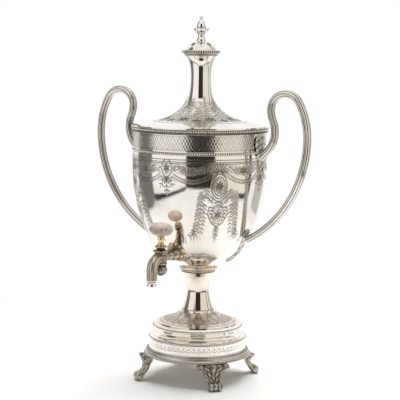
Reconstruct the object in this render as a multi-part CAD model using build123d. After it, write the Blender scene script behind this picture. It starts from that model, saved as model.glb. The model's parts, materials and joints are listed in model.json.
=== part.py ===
from build123d import *
import os
from math import atan2, cos, degrees, radians, sin, sqrt

# Silver-plated tea urn. Millimetres, +Z up, the urn's axis on Z, the floor at z = 0.
# The tap points to -Y and the handles to -X and +X.

# Sheet and fits
WALL = 1.2
REST_GAP = 0.1
SLIP_FIT = 0.4
RUNNING_FIT = 0.05
HOLE_FIT = 0.15
BEAD = 1.2

# Feet and plinth
FOOT_HEIGHT = 33.5
FOOT_REACH = 84.3
TOE_RADIUS = 6.0
TOE_WIDTH = 17.5
TOE_FLAT = 0.5
FOOT_TOP_WIDTH = 46.0
FOOT_TOP_THICKNESS = 10.2
FOOT_TOP_OUT = 2.6
FOOT_KNEE_OUT = 5.0
FOOT_KNEE_DROP = 6.0
FOOT_SHIN_STEP = 1.4
FOOT_SHIN_DROP = 13.0
FOOT_ANKLE_STEP = 5.0
FOOT_BACK_DROP = 11.0
FOOT_BACK_STEP = 2.2
FOOT_HEEL_RISE = 8.5
FOOT_HEEL_STEP = 11.0
FOOT_SOLE_RISE = 2.2
FOOT_SOLE_STEP = 6.0
LOBE_EDGE = 3.4
LOBE_DROP = 5.0
LOBE_STEP = 4.0
LOBE_ROOT_DROP = 6.5
CALF_STEP = 2.4
FOOT_ANGLES = {"front_left": 225, "front_right": 315, "back_right": 45, "back_left": 135}
LUG_WIDTH = 16.0
LUG_THICKNESS = 2.5
SCREW_CIRCLE = 55.0
SCREW_RADIUS = 2.0
SCREW_HEAD_RADIUS = 3.6
SCREW_HEAD_HEIGHT = 2.2
NUT_ACROSS_FLATS = 7.0
NUT_HEIGHT = 3.0
PLATE_RADIUS = 64.0
PLATE_HOLE_RADIUS = 18.0
PLATE_THICKNESS = 1.5
MOULDING_HEIGHT = 7.5
MOULDING_CURB = 2.6
MOULDING_LEDGE = 3.5
MOULDING_COVE_STEP = 1.6
MOULDING_COVE_RISE = 1.4
MOULDING_RADIUS = 73.6
DRUM_RADIUS = 67.3
DRUM_HEIGHT = 20.2
DRUM_CHAMFER = 1.0
DRUM_BEAD_DROP = 2.3
TIER_HEIGHT = 17.0
TIER_RIM_RADIUS = 56.6
TIER_WAIST_RADIUS = 51.5
TIER_FOOT_RADIUS = 61.5
TIER_RIM_HEIGHT = 5.6
TIER_HOLE_RADIUS = 48.5
TIER_FOOT_EDGE = 0.8
TIER_COVE_STEP = 3.0
TIER_COVE_RISE = 2.6
TIER_NECK_STEP = 1.6
TIER_BEAD_RISE = 2.0
STEM_SEAT_LAND = 1.0

# Stem and its collar
STEM_HEIGHT = 71.0
STEM_TOP_RADIUS = 22.8
STEM_WAIST_RADIUS = 15.5
STEM_EDGE_INSET = 1.2
COLLAR_HEIGHT = 8.8
COLLAR_RADIUS = 27.3
COLLAR_BORE_RADIUS = 18.0
COLLAR_SEAT_STEP = 0.4
COLLAR_FLANGE_STEP = 0.6
COLLAR_FLANGE_HEIGHT = 0.7
COLLAR_RING_RISE = 3.8
COLLAR_NECK_HEIGHT = 0.8

# Body
BOWL_DEPTH = 158.0
BOWL_RADIUS = 92.2
BOWL_FOOT_RADIUS = 24.5
BAND_HEIGHT = 29.0
BAND_LAP = 4.0
JOINT_STRIP_HEIGHT = 5.0
JOINT_STRIP_THICKNESS = 0.7
RIM_HEIGHT = 5.6
RIM_SKIRT = 2.0
RIM_THICKNESS = 2.0
RIM_INSET = 1.2
RIM_LIP_HEIGHT = 1.0
RIM_LIP_STEP = 1.0
RIM_CHAMFER = 0.5
RIM_BEAD_DROP = 2.0

# Lid, vent cap and finial
LID_HEIGHT = 98.7
LID_EDGE_HEIGHT = 1.2
LID_OVERHANG = 0.6
LID_NECK_RADIUS = 14.5
LID_TOP_RADIUS = 24.2
LID_COLLAR_RADIUS = 26.7
LID_COLLAR_HEIGHT = 3.9
BEZEL_DEPTH = 8.0
CAP_RADIUS = 22.0
CAP_HEIGHT = 12.8
CAP_WALL = 1.0
CAP_CROWN_RADIUS = 6.8
CAP_SLOTS = 4
CAP_SLOT_ANGLE = 73.0
CAP_SLOT_WIDTH = 2.6
CAP_SLOT_LENGTH = 5.4
CAP_HOLE_RADIUS = 1.2
FINIAL_HEIGHT = 34.0
FINIAL_CUP_RADIUS = 11.0
FINIAL_TIP_RADIUS = 2.5
FINIAL_STUD_RADIUS = 1.5
FINIAL_NUT_ACROSS_FLATS = 5.5
FINIAL_NUT_HEIGHT = 2.4

# Handles
STRAP_THICKNESS = 10.0
STRAP_WIDTH = 14.5
STRAP_REEDS = 12
REED_RISE = 0.9
ROOT_OUT = 11.5
ROOT_DROP = 30.1
ROOT_HEADING = 45.0
ROOT_BEND_RADIUS = 36.0
SHOULDER_RADIUS = 39.8
LOOP_RADIUS = 21.5
SIDE_RADIUS = 98.0
HANDLE_TURNS = (68.7, -23.7, -150.0, -30.0)
LANDING_DEPTH = 0.64
LEAF_THICKNESS = 4.0
LEAF_WIDTH = 29.0
LEAF_ABOVE_JOINT = 26.0
LEAF_BELOW_JOINT = 25.0
TONGUE_THICKNESS = 3.0
TONGUE_WIDTH = 15.0
TONGUE_LENGTH = 52.0

# Tap
TAP_HEIGHT_ON_BOWL = 25.0
TAP_REACH = 105.0
ARM_RADIUS = 10.8
ARM_END_RADIUS = 6.2
ESCUTCHEON_RADIUS = 15.0
ESCUTCHEON_THICKNESS = 2.5
SHANK_RADIUS = 6.5
SHANK_LENGTH = 24.0
SHANK_WASHER_RADIUS = 11.0
SHANK_NUT_ACROSS_FLATS = 20.0
SHANK_NUT_LENGTH = 5.0
SHANK_END_PAST_NUT = 2.0
ARM_INSIDE_BOWL = 20.0
ARM_SHOULDER = 9.0
WATERWAY_RADIUS = 4.0
HOUSING_RADIUS = 8.4
HOUSING_ABOVE = 6.3
HOUSING_BELOW = 10.0
PLUG_RADIUS = 5.6
PLUG_FLANGE_RADIUS = 10.3
PLUG_FLANGE_HEIGHT = 3.0
PLUG_FLANGE_BEVEL = 0.8
PLUG_RING_RADIUS = 7.8
PLUG_RING_HEIGHT = 3.4
PLUG_RING_BEVEL = 0.6
PLUG_WAIST_HEIGHT = 2.6
PLUG_WAIST_RADIUS = 5.6
TAIL_RADIUS = 3.0
TAIL_LENGTH = 9.0
TAIL_WASHER_RADIUS = 7.6
TAIL_WASHER_THICKNESS = 1.2
TAIL_NUT_RADIUS = 8.8
TAIL_NUT_HEIGHT = 13.2
KEY_NECK_RADIUS = 4.8
KEY_NECK_HEIGHT = 12.6
KEY_STUD_RADIUS = 2.0
KEY_STUD_LENGTH = 13.0
KNOB_LENGTH = 34.0
KNOB_WIDTH = 24.0
KNOB_HEIGHT = 18.8
KNOB_SINK = 0.8
SPOUT_RADIUS = 7.0
SPOUT_BEND_RADIUS = 14.5
SPOUT_RUN = 8.5
SPOUT_DIP = 1.2
SPOUT_DROP = 12.0
SPOUT_RING_HEIGHT = 8.0
SPOUT_RING_RADIUS = 6.7
SPOUT_RING_WAIST = 5.7
SPOUT_RING_NECK = 6.0
SPOUT_RING_LIP = 1.0
SPOUT_RING_SHOULDER = 1.6
SPOUT_RING_BEVEL = 0.6

# Heater sleeve, its cover and the iron
SLEEVE_RADIUS = 22.0
SLEEVE_HEIGHT = 174.0
SLEEVE_FLANGE_RADIUS = 25.0
SLEEVE_FLANGE_THICKNESS = 1.5
COVER_RADIUS = 24.5
COVER_THICKNESS = 2.0
COVER_SPIGOT = 10.0
COVER_BEVEL = 0.6
COVER_KNOB_RADIUS = 6.0
COVER_KNOB_HEIGHT = 12.5
IRON_RADIUS = 18.5
IRON_LENGTH = 128.0
IRON_CHAMFER = 2.0
EYE_RADIUS = 6.0
EYE_WIRE = 2.0

# Heights, from the floor up
z_plinth = FOOT_HEIGHT
z_drum = z_plinth + MOULDING_HEIGHT
z_drum_top = z_drum + DRUM_HEIGHT
z_tier_top = z_drum_top + TIER_HEIGHT
z_stem_top = z_tier_top + STEM_HEIGHT
z_bowl = z_stem_top + COLLAR_HEIGHT
z_joint = z_bowl + BOWL_DEPTH
z_band_top = z_joint + BAND_HEIGHT
z_rim_top = z_band_top + RIM_HEIGHT
z_lid_top = z_rim_top + LID_HEIGHT
z_cap = z_lid_top + LID_COLLAR_HEIGHT
z_crown = z_cap + CAP_HEIGHT
z_tap = z_bowl + TAP_HEIGHT_ON_BOWL
z_sleeve_top = z_bowl + WALL + SLEEVE_HEIGHT

# Radii that follow from the ones above
band_radius = BOWL_RADIUS - WALL
rim_bore_radius = band_radius - WALL - RIM_INSET
rim_radius = band_radius + RIM_THICKNESS
sleeve_bore_radius = SLEEVE_RADIUS - WALL

pieces = {}


def line(start, end):
    return Edge.make_line(Vector(start[0], 0, start[1]), Vector(end[0], 0, end[1]))


def curve(points, start=None, end=None):
    """A smooth curve in the XZ plane through (radius, height) points."""
    places = [Vector(r, 0, z) for r, z in points]
    if start is None:
        return Edge.make_spline(places)
    return Edge.make_spline(places, tangents=[Vector(start[0], 0, start[1]), Vector(end[0], 0, end[1])])


def turned(edges):
    """A solid of revolution about the urn's axis, from edges that close an outline."""
    return revolve(Face(Wire(edges)), Axis.Z, 360)


def turned_outline(points):
    """A solid of revolution from a closed outline with straight sides."""
    ends = points[1:] + points[:1]
    return turned([line(a, b) for a, b in zip(points, ends)])


def offset_points(edge, distance, shares):
    """Points beside an edge in the XZ plane, to its right by a distance."""
    found = []
    for share in shares:
        place = edge.position_at(share)
        along = edge.tangent_at(share)
        found.append((place.X + along.Z * distance, place.Z - along.X * distance))
    return found


def half_round_ring(radius, height, size):
    """A half-round wire laid flat on a round wall."""
    low = Vector(radius, 0, height - size)
    high = Vector(radius, 0, height + size)
    tip = Vector(radius + size, 0, height)
    return turned([Edge.make_line(high, low), Edge.make_three_point_arc(low, tip, high)])


def upright(radius, height, bottom, x=0.0, y=0.0):
    """A vertical cylinder that stands at a height."""
    return Pos(x, y, bottom + height / 2) * Cylinder(radius, height)


def hexagon(across_flats, height, bottom, x=0.0, y=0.0):
    """A hexagonal prism that stands at a height."""
    outline = RegularPolygon(across_flats / 2, 6, major_radius=False)
    return Pos(x, y, bottom) * extrude(outline, height)


def along_tap(radius, near, far, height):
    """A cylinder along -Y, from one distance from the urn's axis to another."""
    return Pos(0, -(near + far) / 2, height) * Rot(90, 0, 0) * Cylinder(radius, far - near)


def mirrored(shape):
    return mirror(shape, Plane.YZ)


def bowl_curve(offset=0.0):
    """The bowl's outside from the joint down to its foot, moved outwards by an offset."""
    shares = (
        (1.0, 1.0), (0.997, 0.8), (0.976, 0.68), (0.942, 0.58), (0.90, 0.475), (0.843, 0.378),
        (0.77, 0.272), (0.683, 0.165), (0.56, 0.095), (0.415, 0.041),
    )
    points = [(BOWL_RADIUS * r, z_bowl + BOWL_DEPTH * z) for r, z in shares]
    points.append((BOWL_FOOT_RADIUS, z_bowl))
    edge = curve(points, (0, -1), (-1, -0.18))
    if offset == 0.0:
        return edge
    steps = [step / 12 for step in range(13)]
    return curve(offset_points(edge, -offset, steps))


def bowl_block(offset=0.0):
    """The bowl's outside as one full solid, moved outwards by an offset."""
    side = bowl_curve(offset)
    top = side @ 0
    foot = side @ 1
    ends = [(foot.X, foot.Z), (0, foot.Z), (0, top.Z), (top.X, top.Z)]
    return turned([side] + [line(a, b) for a, b in zip(ends, ends[1:])])


def bowl_inside():
    """The space inside the bowl as one full solid."""
    steps = [step / 12 for step in range(12)]
    points = offset_points(bowl_curve(), WALL, steps)
    floor = z_bowl + WALL
    points = [point for point in points if point[1] > floor + WALL]
    points.append((BOWL_FOOT_RADIUS - WALL, floor))
    side = curve(points)
    top = points[0]
    ends = [points[-1], (0, floor), (0, top[1]), top]
    return turned([side] + [line(a, b) for a, b in zip(ends, ends[1:])])


bowl_solid = bowl_block()
bowl_space = bowl_inside()


def make_plinth():
    """The bottom moulding, the drum, the cavetto tier, the base plate and their bead rings."""
    foot = MOULDING_RADIUS
    top = DRUM_RADIUS + MOULDING_LEDGE
    inner = PLATE_RADIUS
    curb = z_plinth + MOULDING_CURB
    cove = curve([(foot, curb), (foot - MOULDING_COVE_STEP, curb + MOULDING_COVE_RISE), (top, z_drum)])
    moulding = [
        line((inner, z_plinth), (foot, z_plinth)),
        line((foot, z_plinth), (foot, curb)),
        cove,
        line((top, z_drum), (inner, z_drum)),
        line((inner, z_drum), (inner, z_plinth)),
    ]
    pieces["base_moulding"] = turned(moulding)
    pieces["base_moulding_bead"] = half_round_ring(foot, z_plinth + MOULDING_CURB / 2, BEAD)
    plate = upright(PLATE_RADIUS, PLATE_THICKNESS, z_plinth)
    plate -= upright(PLATE_HOLE_RADIUS, PLATE_THICKNESS, z_plinth)
    for angle in FOOT_ANGLES.values():
        x, y = foot_place(SCREW_CIRCLE, angle)
        plate -= upright(SCREW_RADIUS + HOLE_FIT, PLATE_THICKNESS, z_plinth, x, y)
    pieces["base_plate"] = plate
    edge = DRUM_CHAMFER
    drum = [
        (DRUM_RADIUS, z_drum), (DRUM_RADIUS, z_drum_top - edge), (DRUM_RADIUS - edge, z_drum_top),
        (TIER_HOLE_RADIUS, z_drum_top), (TIER_HOLE_RADIUS, z_drum_top - WALL),
        (DRUM_RADIUS - edge - WALL, z_drum_top - WALL), (DRUM_RADIUS - WALL, z_drum_top - edge - WALL),
        (DRUM_RADIUS - WALL, z_drum),
    ]
    pieces["lower_tier"] = turned_outline(drum)
    pieces["lower_tier_bead"] = half_round_ring(DRUM_RADIUS, z_drum_top - DRUM_BEAD_DROP, BEAD)
    rim_low = z_tier_top - TIER_RIM_HEIGHT
    foot_top = z_drum_top + TIER_FOOT_EDGE
    neck = TIER_WAIST_RADIUS + TIER_NECK_STEP
    cavetto = curve([
        (TIER_FOOT_RADIUS, foot_top), (TIER_WAIST_RADIUS + TIER_COVE_STEP, z_drum_top + TIER_COVE_RISE),
        (TIER_WAIST_RADIUS, (z_drum_top + rim_low + TIER_RIM_HEIGHT / 3) / 2), (neck, rim_low),
    ])
    shoulder = [
        (neck, rim_low), (TIER_RIM_RADIUS, rim_low), (TIER_RIM_RADIUS, z_tier_top),
        (TIER_HOLE_RADIUS, z_tier_top), (TIER_HOLE_RADIUS, z_drum_top), (TIER_FOOT_RADIUS, z_drum_top),
        (TIER_FOOT_RADIUS, foot_top),
    ]
    pieces["upper_tier"] = turned([cavetto] + [line(a, b) for a, b in zip(shoulder, shoulder[1:])])
    pieces["upper_tier_bead"] = half_round_ring(TIER_RIM_RADIUS, rim_low + TIER_BEAD_RISE, BEAD)


def foot_place(radius, angle):
    return radius * cos(radians(angle)), radius * sin(radians(angle))


def make_foot():
    """One foot along +X: a leaf-shaped leg with a scroll toe and a lug under the base plate."""
    top = z_plinth
    reach = FOOT_REACH
    knee = MOULDING_RADIUS + FOOT_KNEE_OUT
    front_top = MOULDING_RADIUS + FOOT_TOP_OUT
    toe_top = 2 * TOE_RADIUS - TOE_FLAT
    front = curve([
        (front_top, top), (knee, top - FOOT_KNEE_DROP), (knee - FOOT_SHIN_STEP, top - FOOT_SHIN_DROP),
        (reach - FOOT_ANKLE_STEP, 2.4 * TOE_RADIUS), (reach, toe_top),
    ])
    toe = Edge.make_three_point_arc(
        Vector(reach, 0, toe_top), Vector(reach + TOE_RADIUS, 0, TOE_RADIUS - TOE_FLAT),
        Vector(reach, 0, -TOE_FLAT),
    )
    back_top = front_top - FOOT_TOP_THICKNESS
    back = curve([
        (reach, -TOE_FLAT), (reach - FOOT_SOLE_STEP, FOOT_SOLE_RISE),
        (reach - FOOT_HEEL_STEP, FOOT_HEEL_RISE), (back_top + FOOT_BACK_STEP, top - FOOT_BACK_DROP),
        (back_top, top),
    ])
    side = Face(Wire([front, toe, back, line((back_top, top), (front_top, top))]))
    leg = extrude(side, FOOT_TOP_WIDTH / 2, dir=(0, 1, 0), both=True)
    wide = FOOT_TOP_WIDTH / 2
    slim = TOE_WIDTH / 2
    right = [
        (slim, -TOE_FLAT), (slim, 2 * TOE_RADIUS), (slim + CALF_STEP, top / 2),
        (0.62 * wide, top - LOBE_ROOT_DROP), (wide - LOBE_STEP, top - LOBE_DROP), (wide, top - LOBE_EDGE),
        (wide, top),
    ]
    left = [(-across, height) for across, height in reversed(right)]
    shield = extrude(Plane.YZ * make_face(Polyline(*right, *left, close=True)), reach + 2 * TOE_RADIUS)
    floor = Pos(reach, 0, -TOE_RADIUS) * Box(6 * TOE_RADIUS, FOOT_TOP_WIDTH, 2 * TOE_RADIUS)
    leg = (leg & shield) - floor
    lug_start = SCREW_CIRCLE - 1.6 * SCREW_HEAD_RADIUS
    lug_end = MOULDING_RADIUS - 3
    lug = Pos((lug_start + lug_end) / 2, 0, top - LUG_THICKNESS / 2) * Box(
        lug_end - lug_start, LUG_WIDTH, LUG_THICKNESS)
    return leg + lug - upright(SCREW_RADIUS + HOLE_FIT, LUG_THICKNESS, top - LUG_THICKNESS, SCREW_CIRCLE)


def make_feet():
    foot = make_foot()
    head_top = z_plinth - LUG_THICKNESS
    shank = LUG_THICKNESS + PLATE_THICKNESS + NUT_HEIGHT + 1
    nut_floor = z_plinth + PLATE_THICKNESS
    screws = []
    nuts = []
    for name, angle in FOOT_ANGLES.items():
        pieces["foot_" + name] = Rot(0, 0, angle) * foot
        x, y = foot_place(SCREW_CIRCLE, angle)
        screw = upright(SCREW_RADIUS, shank, head_top, x, y)
        screw += upright(SCREW_HEAD_RADIUS, SCREW_HEAD_HEIGHT, head_top - SCREW_HEAD_HEIGHT, x, y)
        screws.append(screw)
        bore = upright(SCREW_RADIUS, NUT_HEIGHT, nut_floor, x, y)
        nuts.append(hexagon(NUT_ACROSS_FLATS, NUT_HEIGHT, nut_floor, x, y) - bore)
    pieces["foot_screws"] = Compound(children=screws)
    pieces["foot_nuts"] = Compound(children=nuts)


def make_stem():
    """The trumpet stem and the turned collar between it and the bowl."""
    waist = STEM_WAIST_RADIUS
    edge = TIER_RIM_RADIUS - STEM_EDGE_INSET
    land = TIER_HOLE_RADIUS + STEM_SEAT_LAND
    low = z_tier_top
    outer = curve([
        (STEM_TOP_RADIUS, z_stem_top), (waist + 3.2, low + 0.885 * STEM_HEIGHT),
        (waist + 0.6, low + 0.74 * STEM_HEIGHT), (waist, low + 0.64 * STEM_HEIGHT),
        (waist + 1.2, low + 0.49 * STEM_HEIGHT), (waist + 3.6, low + 0.365 * STEM_HEIGHT),
        (waist + 7.4, low + 0.25 * STEM_HEIGHT), (waist + 13, low + 0.17 * STEM_HEIGHT),
        ((waist + 13 + edge) / 2, low + 0.085 * STEM_HEIGHT), (edge, low + WALL),
    ])
    inner = curve(offset_points(outer, WALL, (0.9, 0.8, 0.7, 0.6, 0.5, 0.4, 0.3, 0.2, 0.1))
                  + [(STEM_TOP_RADIUS - WALL, z_stem_top)])
    start = inner @ 0
    outline = [
        outer, line((edge, low + WALL), (edge, low)), line((edge, low), (land, low)),
        line((land, low), (start.X, start.Z)), inner,
        line((STEM_TOP_RADIUS - WALL, z_stem_top), (STEM_TOP_RADIUS, z_stem_top)),
    ]
    pieces["stem"] = turned(outline)
    seat = STEM_TOP_RADIUS + COLLAR_SEAT_STEP
    flange = seat + COLLAR_FLANGE_STEP
    flange_top = z_stem_top + COLLAR_FLANGE_HEIGHT
    ring_low = z_stem_top + COLLAR_RING_RISE
    ring_high = z_bowl - COLLAR_NECK_HEIGHT
    bulge = Edge.make_three_point_arc(
        Vector(seat, 0, ring_low), Vector(COLLAR_RADIUS, 0, (ring_low + ring_high) / 2),
        Vector(BOWL_FOOT_RADIUS, 0, ring_high),
    )
    low_side = [
        (COLLAR_BORE_RADIUS, z_bowl), (COLLAR_BORE_RADIUS, z_stem_top), (flange, z_stem_top),
        (flange, flange_top), (seat, flange_top), (seat, ring_low),
    ]
    high_side = [(BOWL_FOOT_RADIUS, ring_high), (BOWL_FOOT_RADIUS, z_bowl), (COLLAR_BORE_RADIUS, z_bowl)]
    sides = [line(a, b) for a, b in zip(low_side, low_side[1:])]
    sides += [bulge] + [line(a, b) for a, b in zip(high_side, high_side[1:])]
    pieces["stem_collar"] = turned(sides)
    pieces["stem_collar_bead"] = half_round_ring(seat, flange_top + BEAD, BEAD)


def make_body():
    """The bowl, the frieze band that laps inside it, and the joint and rim mouldings."""
    bowl = bowl_solid - bowl_space
    bowl -= along_tap(SHANK_RADIUS + HOLE_FIT, BOWL_FOOT_RADIUS, BOWL_RADIUS, z_tap)
    pieces["bowl"] = bowl
    outer = band_radius
    inner = band_radius - WALL
    low = z_joint - BAND_LAP
    band = [(outer, low), (outer, z_band_top), (inner, z_band_top), (inner, low)]
    pieces["frieze_band"] = turned_outline(band)
    strip = outer + JOINT_STRIP_THICKNESS
    strip_top = z_joint + JOINT_STRIP_HEIGHT
    pieces["joint_moulding"] = turned_outline(
        [(outer, z_joint), (strip, z_joint), (strip, strip_top), (outer, strip_top)])
    pieces["joint_bead"] = half_round_ring(strip, z_joint + JOINT_STRIP_HEIGHT / 2, BEAD)
    skirt = z_band_top - RIM_SKIRT
    lip = z_rim_top - RIM_LIP_HEIGHT
    lip_radius = rim_radius + RIM_LIP_STEP
    rim = [
        (rim_bore_radius, z_band_top), (outer, z_band_top), (outer, skirt),
        (rim_radius - RIM_CHAMFER, skirt), (rim_radius, skirt + RIM_CHAMFER), (rim_radius, lip),
        (lip_radius, lip), (lip_radius, z_rim_top), (rim_bore_radius, z_rim_top),
    ]
    pieces["rim_moulding"] = turned_outline(rim)
    pieces["rim_bead"] = half_round_ring(rim_radius, lip - RIM_BEAD_DROP, BEAD)


def make_lid():
    """The lid shell, its bezel, the collar ring, the pierced cap and the finial."""
    edge = rim_radius + LID_OVERHANG
    low = z_rim_top
    neck = LID_NECK_RADIUS
    shape = (
        (0.78, 0.045), (0.58, 0.071), (0.42, 0.107), (0.30, 0.155), (0.165, 0.242), (0.066, 0.352),
        (0.016, 0.48), (0.0, 0.62),
    )
    points = [(edge, low + LID_EDGE_HEIGHT)]
    points += [(neck + (edge - neck) * r, low + LID_HEIGHT * z) for r, z in shape]
    points += [
        (neck + 0.4, low + 0.77 * LID_HEIGHT), (neck + 2.7, low + 0.875 * LID_HEIGHT),
        (LID_TOP_RADIUS, z_lid_top),
    ]
    outer = curve(points)
    seat = rim_bore_radius - SLIP_FIT - 2 * WALL
    shares = [0.16 + 0.07 * step for step in range(12)]
    inner_points = [(seat, low)] + offset_points(outer, -WALL, shares)
    inner_points.append((LID_TOP_RADIUS - 1.4 * WALL, z_lid_top))
    inner = curve(inner_points)
    pieces["lid_shell"] = turned([
        line((seat, low), (edge, low)), line((edge, low), (edge, low + LID_EDGE_HEIGHT)), outer,
        line((LID_TOP_RADIUS, z_lid_top), (LID_TOP_RADIUS - 1.4 * WALL, z_lid_top)), inner,
    ])
    bezel = rim_bore_radius - SLIP_FIT
    pieces["lid_bezel"] = turned_outline([
        (bezel, low), (bezel, low - BEZEL_DEPTH), (bezel - WALL, low - BEZEL_DEPTH), (bezel - WALL, low)])
    wide = LID_COLLAR_RADIUS
    inset = wide - BEAD
    flange = (LID_COLLAR_HEIGHT - 2 * BEAD) / 2
    bore = LID_TOP_RADIUS - 6 * WALL
    pieces["lid_collar"] = turned_outline([
        (bore, z_lid_top), (wide, z_lid_top), (wide, z_lid_top + flange), (inset, z_lid_top + flange),
        (inset, z_cap - flange), (wide, z_cap - flange), (wide, z_cap), (bore, z_cap),
    ])
    pieces["lid_collar_bead"] = half_round_ring(inset, z_lid_top + LID_COLLAR_HEIGHT / 2, BEAD)
    make_cap()
    make_finial()


def make_cap():
    """The pierced cap: a small dome with slots and round holes between them."""
    crown = CAP_CROWN_RADIUS
    outer = curve([
        (CAP_RADIUS, z_cap), (0.82 * CAP_RADIUS, z_cap + 0.42 * CAP_HEIGHT),
        (0.60 * CAP_RADIUS, z_cap + 0.75 * CAP_HEIGHT), (crown, z_crown),
    ])
    under = z_crown - CAP_WALL
    inner = curve([(crown - CAP_WALL / 2, under)] + offset_points(outer, -CAP_WALL, (0.7, 0.5, 0.3))
                  + [(CAP_RADIUS - 1.3 * CAP_WALL, z_cap)])
    bore = FINIAL_STUD_RADIUS + HOLE_FIT
    start = inner @ 0
    cap = turned([
        outer, line((crown, z_crown), (bore, z_crown)), line((bore, z_crown), (bore, under)),
        line((bore, under), (start.X, start.Z)), inner,
        line((CAP_RADIUS - 1.3 * CAP_WALL, z_cap), (CAP_RADIUS, z_cap)),
    ])
    tilt = degrees(atan2(CAP_HEIGHT, CAP_RADIUS - crown))
    for index in range(CAP_SLOTS):
        turn = CAP_SLOT_ANGLE + index * 360 / CAP_SLOTS
        slot = extrude(SlotOverall(CAP_SLOT_LENGTH, CAP_SLOT_WIDTH), 3 * CAP_WALL, both=True)
        place = Pos(0.68 * CAP_RADIUS, 0, z_cap + 0.63 * CAP_HEIGHT) * Rot(0, 90 - tilt, 0)
        cap -= Rot(0, 0, turn) * place * slot
        hole = Pos(0.80 * CAP_RADIUS, 0, z_cap + 0.44 * CAP_HEIGHT) * Rot(0, 90 - tilt, 0)
        drill = Cylinder(CAP_HOLE_RADIUS, 6 * CAP_WALL)
        cap -= Rot(0, 0, turn + 180 / CAP_SLOTS) * hole * drill
    pieces["vent_cap"] = cap


def make_finial():
    """The turned finial, a bud in a cup, with its stud and nut."""
    high = FINIAL_HEIGHT
    cup = FINIAL_CUP_RADIUS
    ball = FINIAL_TIP_RADIUS
    z_ball = z_crown + high - ball
    foot_top = z_crown + 0.06 * high
    foot = curve([
        (0.60 * cup, foot_top), (0.42 * cup, z_crown + 0.16 * high), (0.50 * cup, z_crown + 0.25 * high),
        (0.84 * cup, z_crown + 0.34 * high), (cup, z_crown + 0.50 * high),
    ])
    bud = curve([
        (0.60 * cup, z_crown + 0.51 * high), (0.56 * cup, z_crown + 0.65 * high),
        (0.44 * cup, z_crown + 0.78 * high), (0.8 * ball, z_ball - 0.6 * ball),
    ])
    tip_high = z_crown + high
    tip = Edge.make_three_point_arc(
        Vector(0.8 * ball, 0, z_ball - 0.6 * ball), Vector(ball, 0, z_ball), Vector(0, 0, tip_high))
    nut_top = z_crown - CAP_WALL
    stud = nut_top - FINIAL_NUT_HEIGHT - 1
    slim = FINIAL_STUD_RADIUS
    ends = [(0, tip_high), (0, stud), (slim, stud), (slim, z_crown), (0.60 * cup, z_crown),
            (0.60 * cup, foot_top)]
    pieces["finial"] = turned([
        foot, line((cup, z_crown + 0.50 * high), (0.60 * cup, z_crown + 0.51 * high)), bud, tip,
    ] + [line(a, b) for a, b in zip(ends, ends[1:])])
    nut = hexagon(FINIAL_NUT_ACROSS_FLATS, FINIAL_NUT_HEIGHT, nut_top - FINIAL_NUT_HEIGHT)
    pieces["finial_nut"] = nut - upright(FINIAL_STUD_RADIUS, FINIAL_NUT_HEIGHT, nut_top - FINIAL_NUT_HEIGHT)


def handle_path():
    """The strap's middle line: a straight root, arcs over the loop, one long arc to the bowl."""
    heading = ROOT_HEADING
    place = Vector(band_radius + ROOT_OUT, 0, z_rim_top - ROOT_DROP)
    back = ROOT_OUT / cos(radians(heading))
    root = place - Vector(cos(radians(heading)), 0, sin(radians(heading))) * back
    edges = [Edge.make_line(root, place)]
    radii = (ROOT_BEND_RADIUS, SHOULDER_RADIUS, LOOP_RADIUS, SIDE_RADIUS)
    for radius, turn in zip(radii, HANDLE_TURNS):
        side = 1 if turn > 0 else -1
        normal = radians(heading + 90 * side)
        centre = place + Vector(cos(normal), 0, sin(normal)) * radius
        ends = []
        for share in (0.5, 1.0):
            spoke = radians(heading - 90 * side + turn * share)
            ends.append(centre + Vector(cos(spoke), 0, sin(spoke)) * radius)
        edges.append(Edge.make_three_point_arc(place, ends[0], ends[1]))
        heading += turn
        place = ends[1]
    landing = bowl_curve(STRAP_THICKNESS / 2) @ LANDING_DEPTH
    edges.append(Edge.make_tangent_arc(place, Vector(0, 0, -1), landing))
    return Wire(edges)


def strap_section(plane):
    """The reeded section: an oval with a rounded reed between each two grooves."""
    grooves = []
    crests = []
    for index in range(STRAP_REEDS):
        for share, rise, found in ((0.0, -REED_RISE, grooves), (0.5, 0.0, crests)):
            turn = radians((index + share) * 360 / STRAP_REEDS)
            across = STRAP_WIDTH / 2 + rise
            deep = STRAP_THICKNESS / 2 + rise
            found.append(Vector(deep * cos(turn), across * sin(turn), 0))
    ends = grooves[1:] + grooves[:1]
    reeds = [Edge.make_three_point_arc(a, b, c) for a, b, c in zip(grooves, crests, ends)]
    return plane * Face(Wire(reeds))


def make_handles():
    """The two straps, the acanthus leaves at their roots and the leaf tongues under the bowl."""
    path = handle_path()
    along = path % 0
    start = Plane(origin=path @ 0, x_dir=Vector(-along.Z, 0, along.X), z_dir=along)
    strap = sweep(strap_section(start), path=path)
    leaf = make_leaf()
    tongue = make_tongue()
    leaf_low = z_joint - LEAF_BELOW_JOINT
    quarter = Rot(0, 0, 90)
    strap -= quarter * upright(band_radius + LEAF_THICKNESS, z_rim_top - leaf_low, leaf_low)
    strap -= quarter * bowl_block(TONGUE_THICKNESS)
    strap = strap.solids().sort_by(SortBy.VOLUME)[-1]
    pieces["handle_right"] = strap
    pieces["handle_leaf_right"] = leaf
    pieces["handle_tongue_right"] = tongue
    for name in ("handle", "handle_leaf", "handle_tongue"):
        pieces[name + "_left"] = mirrored(pieces[name + "_right"])


def leaf_outline(width, length):
    """A pointed leaf in the XY plane, with its tip on -Y at the given length from its top."""
    half = width / 2
    points = [
        (-0.72 * half, 0), (-half, -0.16 * length), (-0.86 * half, -0.36 * length),
        (-0.50 * half, -0.62 * length), (0, -length), (0.50 * half, -0.62 * length),
        (0.86 * half, -0.36 * length), (half, -0.16 * length), (0.72 * half, 0),
    ]
    left = Spline(*points[:5])
    right = Spline(*points[4:])
    return make_face(left + right + Line(points[-1], points[0]))


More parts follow.
